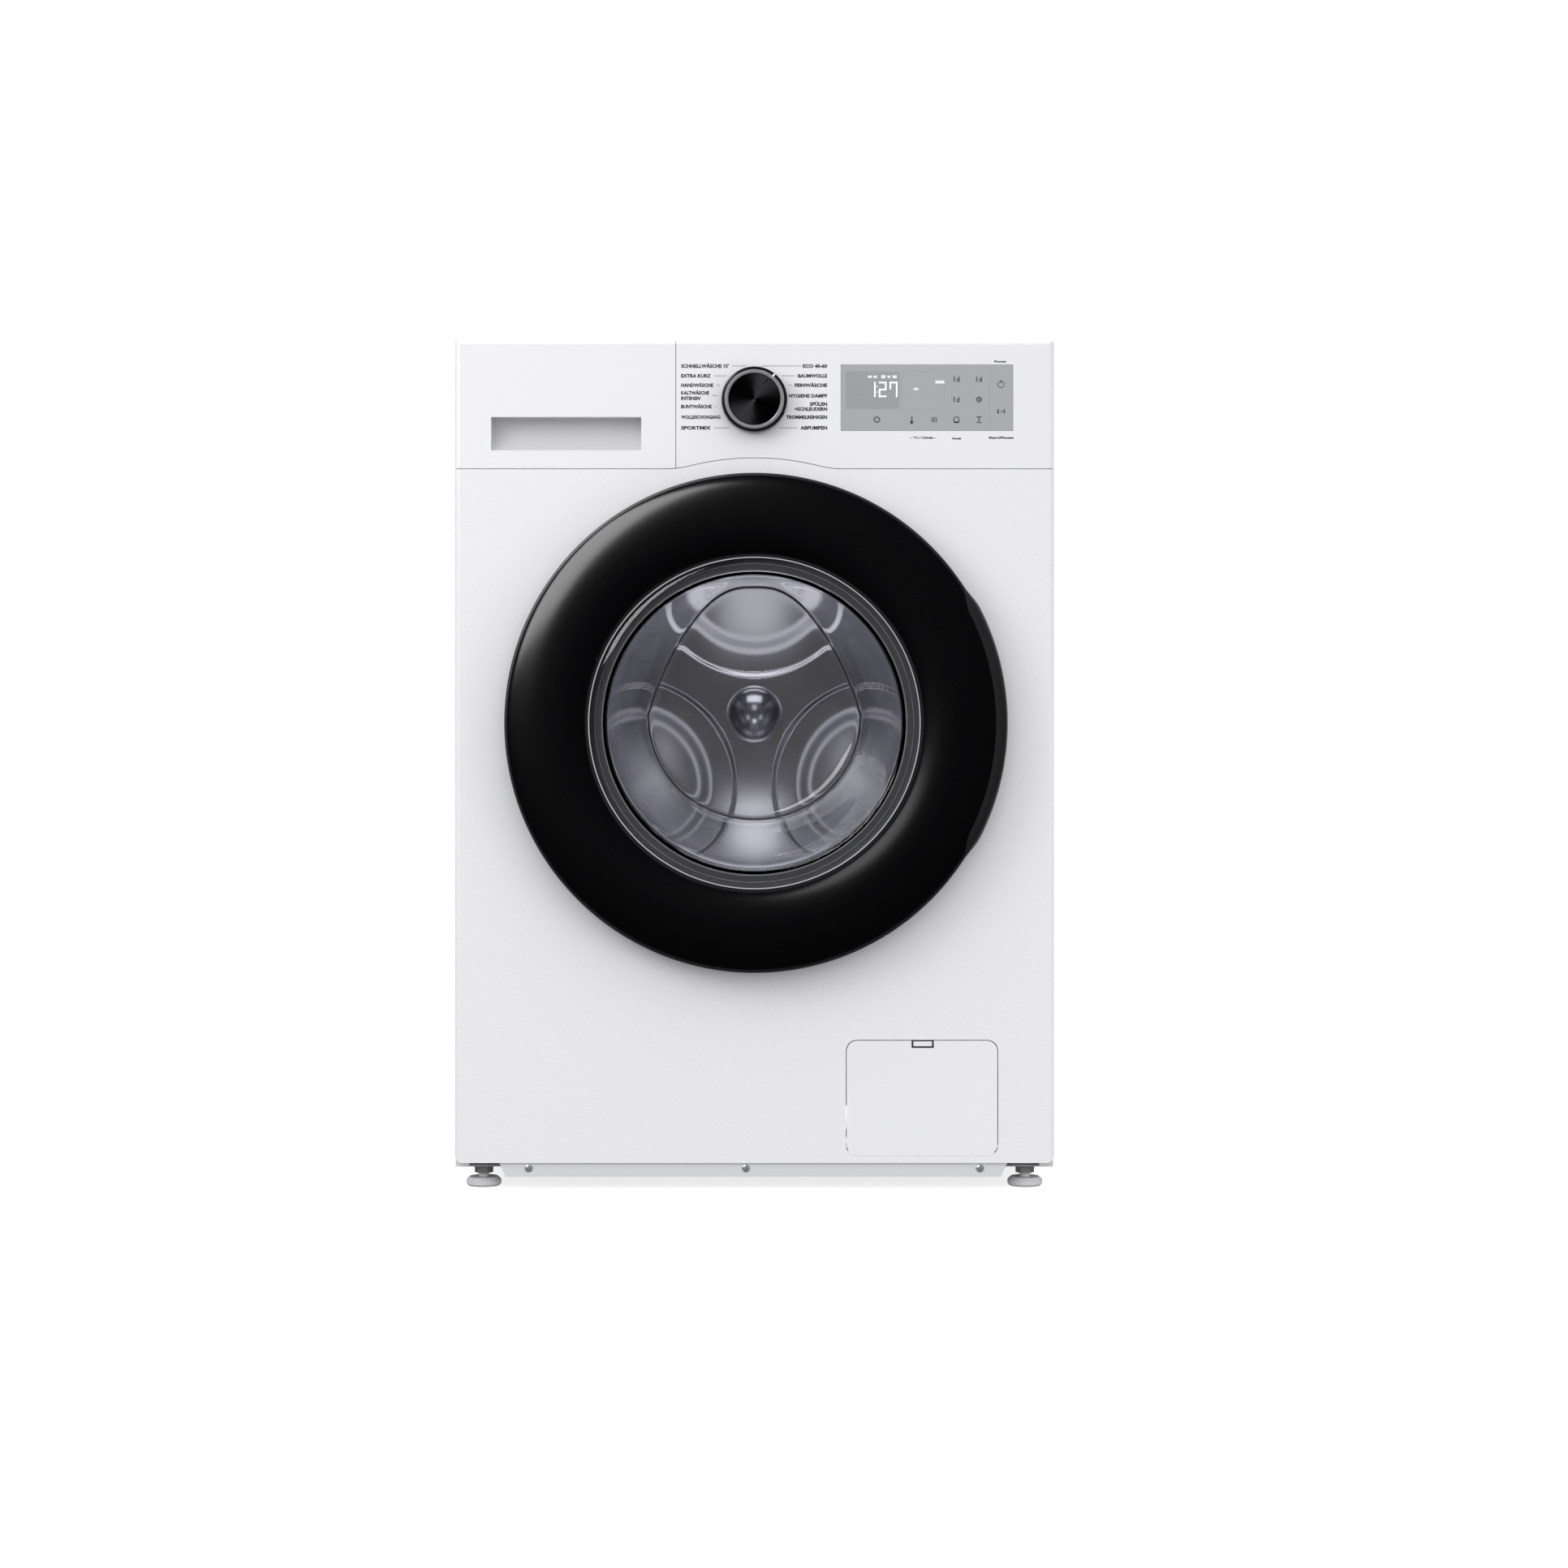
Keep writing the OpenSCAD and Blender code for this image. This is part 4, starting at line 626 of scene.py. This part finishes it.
drum_wall = piece("drum_wall", *perforated_wall(), "drum", "drum_steel", MATERIAL["drum"],
                  replaces=["drum_shell"], smooth=50)
thicken(drum_wall, SHEET, offset=0, smooth=30)

# rolled front of the drum: radii and distances behind the drum's front
LIP = ((160.6, 5.6), (160.6, -3.4), (162.5, -6.0), (167.8, -7.4), (200, -6.0), (234.2, -4.5), (239.5, -1.6),
       (242.6, 2.6), (243.8, 7.2), (243.0, 7.3), (241.9, 3.0), (239.0, -0.8), (233.9, -3.5), (200, -5.0),
       (168.2, -6.4), (163.2, -5.2), (161.6, -3.0), (161.6, 5.6))
lip_profile = [(r, DRUM_FRONT + depth) for r, depth in LIP]
lathe("drum_front_lip", lip_profile, (0, DRUM_Z), "drum", "drum_steel", MATERIAL["drum"])


# ---------- seal, springs and hoses across the tub's travel ----------

def bend_between(obj):
    """Takes a piece off its body and bakes where it stands into its mesh."""
    obj.parent = None
    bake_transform(obj)


# door seal: radii and distances behind the front panel, down its outside and back along its inside
SEAL = ((160.8, -1.9), (170.6, -1.9), (170.9, -0.4), (165.2, -0.3), (165.0, 9.0), (168.0, 12.4),
        (176.0, 13.6), (183.2, 15.4), (185.2, 18.0), (185.2, 24.0), (182.5, 27.2), (170.5, 31.6),
        (168.2, 34.0), (168.2, 38.2), (171.0, 41.0), (178.0, 44.0), (180.4, 46.6), (180.6, 64.0),
        (178.1, 64.0), (178.0, 48.0), (175.8, 45.8), (168.0, 42.6), (165.4, 39.6), (165.3, 33.0),
        (168.0, 29.6), (180.4, 25.0), (182.6, 22.6), (182.5, 19.0), (180.6, 17.2), (172.0, 15.4),
        (164.0, 13.4), (161.2, 9.6))
seal_profile = [(r, FRONT + depth) for r, depth in SEAL]
seal = lathe("door_bellows", seal_profile, (0, DOOR_Z), "cabinet", "seal_rubber", MATERIAL["seal"],
             replaces=["door_seal"])
bend_between(seal)

SPRING_X = 262.0                       # coils' axes either side of the middle
SPRING_Y = (SPRING_LOW.y + SPRING_HIGH.y) / 2
SPRING_EYES = (620.5, 793.5)           # heights of the two hooked ends
COIL_R = 13.0
COIL_TURNS = 13
TURN_POINTS = 20


def tube_along(path, radius, sides=10):
    """Round wire along a list of points."""
    verts = []
    up = Vector((0.137, 0.279, 0.95)).normalized()
    for i, point in enumerate(path):
        before = Vector(path[max(i - 1, 0)])
        after = Vector(path[min(i + 1, len(path) - 1)])
        along = (after - before).normalized()
        side = along.cross(up).normalized()
        up = side.cross(along).normalized()
        for angle in even_angles(sides):
            c, s = polar(1, angle)
            verts.append(tuple(Vector(point) + (side * c + up * s) * radius))
    faces = band_faces(len(path), sides)
    faces += [tuple(range(sides)), tuple(range(len(verts) - sides, len(verts)))]
    return verts, faces


def spring_path(x):
    """Lower hook, coil and upper hook of the spring at x."""
    low, high = SPRING_EYES
    coil_low, coil_high = low + 14, high - 14
    # sideways from the coil's axis, and up from the lower eye
    hook = ((-11, 0), (4, 0), (10, 0.8), (COIL_R, 4.5), (COIL_R, 9))
    path = [(x + sideways, SPRING_Y, low + height) for sideways, height in hook]
    steps = COIL_TURNS * TURN_POINTS
    for i in range(steps + 1):
        c, s = polar(COIL_R, 360 * i / TURN_POINTS)
        path.append((x + c, SPRING_Y + s, coil_low + (coil_high - coil_low) * i / steps))
    path += [(x + sideways, SPRING_Y, high - height) for sideways, height in reversed(hook)]
    return path


for side, x in (("left", -SPRING_X), ("right", SPRING_X)):
    coil = piece("tub_spring_" + side, *tube_along(spring_path(x), 2.4), "cabinet", "spring_steel",
                 MATERIAL["spring"], replaces=["suspension_springs"], smooth=60)
    bend_between(coil)

CUFF = 12.5           # plain end of a hose
HOSE_WALL = 2.6
PLEAT = 2.9           # half of a pleat's height
PLEAT_POINTS = 8
HOSE_STATIONS = 72


def bellows(name, node, x, y, inner, pleats):
    """Corrugated hose about an upright line, with a plain cuff at each end, as high as its node."""
    low, high = corners(node)
    bottom, top = low.z, high.z
    outer = inner + HOSE_WALL
    pitch = (top - bottom - 2 * CUFF) / pleats
    wave = []
    for i in range(pleats * PLEAT_POINTS + 1):
        t = i / PLEAT_POINTS
        wave.append((PLEAT * (1 - math.cos(2 * math.pi * t)), bottom + CUFF + pitch * t))
    profile = [(inner, bottom), (outer, bottom), (outer, bottom + CUFF - 1.5)]
    profile += [(outer + height, z) for height, z in wave]
    profile += [(outer, top - CUFF + 1.5), (outer, top), (inner, top)]
    profile += [(inner + height, z) for height, z in reversed(wave)]
    verts = []
    for angle in even_angles(HOSE_STATIONS):
        c, s = polar(1, angle)
        verts += [(x + r * c, y + r * s, z) for r, z in profile]
    hose = piece(name, verts, ring_faces(len(profile), HOSE_STATIONS), "cabinet", "black_rubber",
                 MATERIAL["rubber"], replaces=[node], smooth=60)
    bend_between(hose)


bellows("sump_bellows", "sump_hose", 168, -150, 20.3, 5)
bellows("dispenser_bellows", "fill_hose", -150, -60, 18.3, 3)


# ---------- painted shade: grey sheet inside the drawer's handle scoop ---

SCOOP_X = (-263.3, -113.2)
SCOOP_TOP = 772.8
SCOOP_DEPTH = 24
SCOOP_GAP = 0.12                              # between the painted shade sheet and the drawer front
SCOOP_AXIS = 12                               # how far in front of the fascia its curve's centre lies
SCOOP_R = SCOOP_DEPTH + SCOOP_AXIS - SCOOP_GAP
SCOOP_STEPS = 24
scoop_end = math.degrees(math.acos(12.2 / SCOOP_R))
scoop_line = [(SCOOP_TOP, SCOOP_DEPTH - SCOOP_GAP)]
for i in range(SCOOP_STEPS + 1):
    back, down = polar(SCOOP_R, scoop_end * i / SCOOP_STEPS)
    scoop_line.append((SCOOP_TOP - 1 - down, back - SCOOP_AXIS))
scoop_verts = [(x, FRONT + depth, z) for z, depth in scoop_line for x in SCOOP_X]
scoop_faces = [(2 * i, 2 * i + 1, 2 * i + 3, 2 * i + 2) for i in range(len(scoop_line) - 1)]
# grey sheet whose colour is painted shade for the scoop under its overhang, darker than the drawer's white
piece("handle_scoop_painted_shade", scoop_verts, scoop_faces, "drawer", "white_plastic", MATERIAL["scoop_painted_shade"],
      smooth=60)


# ---------- finger notch of the service flap, and the knob's pointer ----------

LEFT, RIGHT, BOTTOM, TOP = 157.1, 179.4, 142.1, 149.2      # of the notch
SHADOW_BAND = 1.7
IN_LEFT, IN_RIGHT, IN_BOTTOM = LEFT + SHADOW_BAND, RIGHT - SHADOW_BAND, BOTTOM + SHADOW_BAND
notch_outline = [(LEFT, TOP), (LEFT, BOTTOM), (RIGHT, BOTTOM), (RIGHT, TOP),
                 (IN_RIGHT, TOP), (IN_RIGHT, IN_BOTTOM), (IN_LEFT, IN_BOTTOM), (IN_LEFT, TOP)]
# dark U round the notch's white face: painted shadow of the gap round that face
plate("flap_notch_painted_shadow", notch_outline, FRONT - 0.25, FRONT + 2.2, "service_flap", "dark_plastic",
      MATERIAL["dark_abs"])
plate("flap_notch_face", round_rect(IN_LEFT, IN_RIGHT, IN_BOTTOM, TOP - 0.6, 0.3), FRONT + 0.4, FRONT + 2.2,
      "service_flap", "white_plastic", MATERIAL["white_abs"])

POINTER_ANGLE = 51
POINTER_HALF = 0.85       # half of its width
# section of the pointer: radii, and distances in front of the front panel
POINTER = ((28.4, 17.4), (30.9, 16.45), (32.3, 15.3), (32.2, 14.9), (30.8, 16.0), (28.4, 17.0))
pointer_verts = []
c, s = polar(1, POINTER_ANGLE)
for r, distance in POINTER:
    for across in (-POINTER_HALF, POINTER_HALF):
        pointer_verts.append((r * c - across * s, FRONT - distance, KNOB_Z + r * s + across * c))
pointer_faces = [(2 * i, 2 * i + 1, (2 * i + 3) % 12, (2 * i + 2) % 12) for i in range(6)]
pointer_faces += [(0, 2, 4, 6, 8, 10), (1, 3, 5, 7, 9, 11)]
piece("knob_pointer", pointer_verts, pointer_faces, "knob", "white_plastic", MATERIAL["white_abs"])


# ---------- fascia print ----------

PRINT_Y = FRONT - 0.12
ROW_CAP = 3.3                   # height of the programme list's capitals
CAPTION_CAP = 2.0
LEFT_X, RIGHT_X = -73.3, 72.8   # outer ends of the two columns of programmes

# words, height of the line's middle, width
LEFT_ROWS = [
    ("SCHNELLWÄSCHE 15'", 823.8, 47.6), ("EXTRA KURZ", 814.0, 29.8), ("HANDWÄSCHE", 804.6, 32.2),
    ("KALTWÄSCHE", 796.9, 28.1), ("INTENSIV", 791.5, 20.0), ("BUNTWÄSCHE", 783.3, 30.6),
    ("WOLLE/SCHONGANG", 772.7, 39.3), ("SPORTMIX", 762.0, 29.8),
]
RIGHT_ROWS = [
    ("ECO 40-60", 823.8, 24.4), ("BAUMWOLLE", 814.0, 29.3), ("FEINWÄSCHE", 804.6, 32.5),
    ("HYGIENE DAMPF", 794.0, 38.2), ("SPÜLEN", 785.8, 17.5), ("+SCHLEUDERN", 780.8, 32.5),
    ("TROMMELREINIGEN", 772.7, 41.1), ("ABPUMPEN", 762.0, 26.8),
]


def text_piece(name, words, x, z, cap, width, align):
    """One printed line: x is its left, middle or right end, z the middle of its capitals."""
    curve = bpy.data.curves.new(name, "FONT")
    curve.body = words
    curve.size = cap / 0.7
    curve.resolution_u = 2
    curve.offset = 0.045 * curve.size
    writing = link(name + "_curve", curve)
    bpy.context.view_layer.update()
    depsgraph = bpy.context.evaluated_depsgraph_get()
    mesh = bpy.data.meshes.new_from_object(writing.evaluated_get(depsgraph))
    bpy.data.objects.remove(writing)
    first = min(v.co.x for v in mesh.vertices)
    length = max(v.co.x for v in mesh.vertices) - first
    scale = width / length
    start = x - scale * length * {"left": 0, "centre": 0.5, "right": 1}[align]
    verts = [(start + (v.co.x - first) * scale, PRINT_Y, z + v.co.y - cap / 2) for v in mesh.vertices]
    faces = [tuple(polygon.vertices) for polygon in mesh.polygons]
    bpy.data.meshes.remove(mesh)
    piece(name, verts, faces, "cabinet", "dark_plastic", MATERIAL["print"], smooth=30)


def flat_rectangle(rect, y):
    """Corners of (left, right, bottom, top) at y."""
    left, right, bottom, top = rect
    return [(left, y, bottom), (right, y, bottom), (right, y, top), (left, y, top)]


def strips(name, rects, y, slot, material):
    """Thin printed rectangles (left, right, bottom, top), in one piece."""
    verts = []
    faces = []
    for rect in rects:
        first = len(verts)
        verts += flat_rectangle(rect, y)
        faces.append((first, first + 1, first + 2, first + 3))
    piece(name, verts, faces, "cabinet", slot, material)


for i, (words, z, width) in enumerate(LEFT_ROWS):
    text_piece(f"print_left_{i}", words, LEFT_X, z, ROW_CAP, width, "left")
for i, (words, z, width) in enumerate(RIGHT_ROWS):
    text_piece(f"print_right_{i}", words, RIGHT_X, z, ROW_CAP, width, "right")

KNOB_CLEAR = 36.5                                # radius at which the leader lines stop
LEADER_HALF = 0.22                               # half of a line's thickness
TOP_ROW = 823.8
SECOND_LINES = (791.5, 785.8)                    # lines that share the leader of another one
SHARED_LEADERS = {796.9: 794.2, 780.8: 783.3}    # line with a second one: its leader's height
leaders = [(-22.4, -7.7, TOP_ROW), (6.9, 46.7, TOP_ROW)]
for rows, sign in ((LEFT_ROWS, -1), (RIGHT_ROWS, 1)):
    for words, row_z, width in rows:
        if row_z == TOP_ROW or row_z in SECOND_LINES:
            continue
        z = SHARED_LEADERS.get(row_z, row_z)
        inner = math.sqrt(max(0, KNOB_CLEAR ** 2 - (z - KNOB_Z) ** 2)) + 1
        outer = 73 - width - 3
        if outer - inner > 1.5:
            leaders.append((*sorted((sign * inner, sign * outer)), z))
leader_rects = [(left, right, z - LEADER_HALF, z + LEADER_HALF) for left, right, z in leaders]
strips("print_leaders", leader_rects, PRINT_Y, "dark_plastic", MATERIAL["print_light"])


# ---------- display ----------

DISPLAY_Y = DISPLAY_FACE - 0.06
LIT_Y = DISPLAY_Y - 0.1
ICON_Y = DISPLAY_Y - 0.08
plate("display_screen", round_rect(91.2, 144.9, 781.2, 818.5, 0.8), DISPLAY_Y - 0.05, DISPLAY_Y + 0.02,
      "cabinet", "display", MATERIAL["screen"])
ZONE_LINES = [(146.8, 189.9, 780.0, 780.35), (146.8, 147.1, 780, 818.5), (189.6, 189.9, 780, 818.5),
              (146.8, 189.9, 818.2, 818.5), (235.2, 235.6, 761, 823)]
strips("display_zone", ZONE_LINES, DISPLAY_Y, "display", MATERIAL["screen"])

SEGMENTS = {"1": "bc", "2": "abged", "7": "fabc"}
DIGIT_Z = 792.7
DIGIT_WIDTH = 7.6
DIGIT_HEIGHT = 15.2
BAR = 1.4


def seven_segment(figure, left):
    """Rectangles of one seven-segment figure."""
    right = left + DIGIT_WIDTH
    bottom, middle, top = DIGIT_Z, DIGIT_Z + DIGIT_HEIGHT / 2, DIGIT_Z + DIGIT_HEIGHT
    bars = {
        "a": (left, right, top - BAR, top),
        "b": (right - BAR, right, middle, top),
        "c": (right - BAR, right, bottom, middle),
        "d": (left, right, bottom, bottom + BAR),
        "e": (left, left + BAR, bottom, middle),
        "f": (left, left + BAR, middle, top),
        "g": (left, right, middle - BAR / 2, middle + BAR / 2),
    }
    return [bars[segment] for segment in SEGMENTS[figure]]


digits = seven_segment("1", 113.5) + seven_segment("2", 124.4) + seven_segment("7", 135.3)
digits += [(122.2, 123.0, 797.0, 798.4), (122.2, 123.0, 802.6, 804.0)]
strips("display_digits", digits, LIT_Y, "display", MATERIAL["lit"])
MARKS = [(113.4, 117.4, 811.8, 814.2), (119.0, 122.6, 811.8, 814.2), (126.8, 131.0, 811.5, 814.6),
         (133.0, 136.0, 811.8, 814.2), (138.0, 142.4, 811.6, 814.4), (158.8, 164.0, 799.6, 801.4),
         (160.6, 162.4, 801.4, 802.4), (180.8, 190.0, 806.2, 809.2)]
strips("display_marks", MARKS, LIT_Y, "display", MATERIAL["lit_dim"])

RING_POINTS = 28
icon_verts = []
icon_faces = []


def bar_icon(left, right, bottom, top):
    """Adds a rectangle to the printed icons."""
    first = len(icon_verts)
    icon_verts.extend(flat_rectangle((left, right, bottom, top), ICON_Y))
    icon_faces.append((first, first + 1, first + 2, first + 3))


def ring_icon(x, z, r, width):
    """Adds a flat ring to the printed icons."""
    first = len(icon_verts)
    for angle in even_angles(RING_POINTS):
        for radius in (r, r - width):
            dx, dz = polar(radius, angle)
            icon_verts.append((x + dx, ICON_Y, z + dz))
    for i in range(RING_POINTS):
        here, beyond = first + 2 * i, first + 2 * ((i + 1) % RING_POINTS)
        icon_faces.append((here, beyond, beyond + 1, here + 1))


# three fields with a bar and a hook
for x, z in ((202, 810.7), (224.5, 810.7), (202, 790.3)):
    bar_icon(x - 3.0, x - 1.6, z - 2.6, z + 2.6)
    bar_icon(x - 0.2, x + 3.0, z - 2.6, z - 1.5)
    bar_icon(x - 0.2, x + 3.0, z - 0.5, z + 0.5)
    bar_icon(x + 1.9, x + 3.0, z - 2.6, z + 2.6)
ring_icon(224.5, 790.3, 3.0, 2.2)
# power sign
ring_icon(246.5, 805.4, 3.6, 0.9)
bar_icon(246.1, 246.9, 806.0, 810.0)
# start and pause
bar_icon(242.6, 244.6, 776.2, 780.6)
bar_icon(246.0, 250.4, 777.9, 779.0)
bar_icon(249.4, 250.4, 776.2, 780.6)
# lower row, from the left
ring_icon(122.4, 770.2, 3.4, 1.6)
bar_icon(156.6, 158.0, 766.8, 773.8)
ring_icon(157.3, 767.4, 1.7, 1.6)
for left in (177.2, 179.2, 181.2):
    bar_icon(left, left + 1.2, 767.6, 772.8)
ring_icon(202, 770.2, 3.3, 1.1)
bar_icon(199.4, 204.6, 766.9, 768.2)
bar_icon(221.8, 227.2, 772.4, 773.5)
bar_icon(221.8, 227.2, 766.9, 768.0)
bar_icon(223.8, 225.2, 767.6, 772.8)
piece("display_icons", icon_verts, icon_faces, "cabinet", "display", MATERIAL["icon"])

text_piece("caption_power", "Power", 246, 828.3, CAPTION_CAP, 12.0, "centre")
text_piece("caption_temperature", "- °C / U/min -", 168.7, 752.2, CAPTION_CAP, 26.0, "centre")
text_piece("caption_timer", "Vorwahl", 202, 751.4, CAPTION_CAP, 9.0, "centre")
text_piece("caption_start", "Start/Pause", 246.7, 752.2, CAPTION_CAP, 25.0, "centre")


# ---------- camera ----------

CAMERA_DISTANCE = 3500.0           # from the front panel
CAMERA_Z = 530.0
CAMERA_SENSOR = 36
VIEW_WIDTH = 1567.5                # width of the view at the front panel
MACHINE_MIDDLE = 425               # half of the machine's height
MACHINE_LEFT = 36.5 / 1932         # how far its middle is left of the view's middle, as a share of the width
MACHINE_UP = 23.5 / 1932           # how far its middle is above the view's middle

camera_data = bpy.data.cameras.new("camera")
camera_data.sensor_width = CAMERA_SENSOR
camera_data.lens = CAMERA_SENSOR * CAMERA_DISTANCE / VIEW_WIDTH
camera_data.clip_end = 50
camera_data.shift_x = MACHINE_LEFT
camera_data.shift_y = -MACHINE_UP - (CAMERA_Z - MACHINE_MIDDLE) / VIEW_WIDTH
camera = link("camera", camera_data)
camera.location = (0, (FRONT - CAMERA_DISTANCE) * MM, CAMERA_Z * MM)
camera.rotation_euler = (math.radians(90), 0, 0)
bpy.context.scene.camera = camera


# ---------- stage and light ----------

def stage_plane(name, corners_m, glow):
    """White studio surface with a soft glow of its own, so that it stays white round the machine."""
    mesh = bpy.data.meshes.new(name)
    mesh.from_pydata(corners_m, [], [(0, 1, 2, 3)])
    obj = link(name, mesh)
    white = new_material(name + "_white", (0.55, 0.55, 0.55), 0.9, Specular_IOR_Level=0.0,
                         Emission_Color=WHITE_LIGHT, Emission_Strength=glow)
    mesh.materials.append(white)
    obj.visible_glossy = False
    obj.visible_diffuse = False
    return obj


floor = stage_plane("floor", [(-9, -9, 0), (9, -9, 0), (9, 9, 0), (-9, 9, 0)], 0.78)
floor.visible_transmission = False
stage_plane("backdrop", [(-14, 9, -8), (14, 9, -8), (14, 9, 12), (-14, 9, 12)], 1.0)

# brighter towards the top, and plain white where the camera sees past the floor
world = bpy.data.worlds.new("studio")
bpy.context.scene.world = world
world.use_nodes = True
sky = world.node_tree
background = sky.nodes["Background"]
sky_place = sky.nodes.new("ShaderNodeTexCoord")
sky_height = sky.nodes.new("ShaderNodeSeparateXYZ")
sky_ramp = sky.nodes.new("ShaderNodeMapRange")
sky_ramp.interpolation_type = "SMOOTHSTEP"
for socket, value in (("From Min", -0.35), ("From Max", 0.45), ("To Min", 0.24), ("To Max", 1.36)):
    sky_ramp.inputs[socket].default_value = value
sky_view = sky.nodes.new("ShaderNodeLightPath")
sky_white = sky.nodes.new("ShaderNodeMath")
sky_white.operation = "MAXIMUM"
sky.links.new(sky_place.outputs["Generated"], sky_height.inputs["Vector"])
sky.links.new(sky_height.outputs["Z"], sky_ramp.inputs["Value"])
sky.links.new(sky_ramp.outputs["Result"], sky_white.inputs[0])
sky.links.new(sky_view.outputs["Is Camera Ray"], sky_white.inputs[1])
sky.links.new(sky_white.outputs["Value"], background.inputs["Strength"])
background.inputs["Color"].default_value = (0.985, 0.99, 1, 1)
world.cycles_visibility.glossy = False
world.cycles_visibility.transmission = False


def area_light(name, at, target, size, radiance, diffuse=True, glossy=True):
    """Soft rectangle of light. radiance is the brightness of its face, so a mirror would show that value."""
    data = bpy.data.lights.new(name, "AREA")
    data.shape = "RECTANGLE"
    data.size = size[0] * MM
    data.size_y = size[1] * MM
    data.energy = radiance * math.pi * data.size * data.size_y
    light = link(name, data)
    light.location = [c * MM for c in at]
    light.rotation_euler = (Vector(target) - Vector(at)).to_track_quat("-Z", "Y").to_euler()
    light.visible_camera = False
    light.visible_transmission = False
    light.visible_diffuse = diffuse
    light.visible_glossy = glossy


DOOR_MIDDLE = (0, FRONT, DOOR_Z)
area_light("door_softbox", (-1530, -1600, 2000), DOOR_MIDDLE, (2200, 2200), 7.0, diffuse=False)
area_light("front_wash", (0, -3200, 700), DOOR_MIDDLE, (2400, 2400), 0.6, glossy=False)
area_light("left_wash", (-1300, -1400, 1300), (-200, FRONT, 720), (800, 800), 3.4, glossy=False)
area_light("right_wash", (1300, -1400, 200), (280, FRONT, 130), (700, 500), 2.3, glossy=False)
area_light("drum_fill", (0, -146, DRUM_Z), (0, 140, DRUM_Z), (280, 280), 0.09)
area_light("drum_top", (0, -140, DRUM_Z + 135), (0, 140, DRUM_Z + 120), (76, 110), 0.8)
area_light("drum_bottom", (0, -140, DRUM_Z - 150), (0, 140, DRUM_Z - 135), (64, 90), 1.45)
area_light("hub_top", (0, 30, DRUM_Z + 190), (0, 125, DRUM_Z), (190, 110), 1.2, diffuse=False)
for side in (-1, 1):
    lamp_at = (side * 128, -140, DRUM_Z - 72)
    area_light(f"drum_side_{side}", lamp_at, (side * 118, 140, DRUM_Z - 66), (60, 90), 0.55)
area_light("drum_rear_glow", (0, 128, DRUM_Z), (0, -100, DRUM_Z), (400, 400), 0.35)

bpy.context.scene.view_settings.view_transform = "Standard"
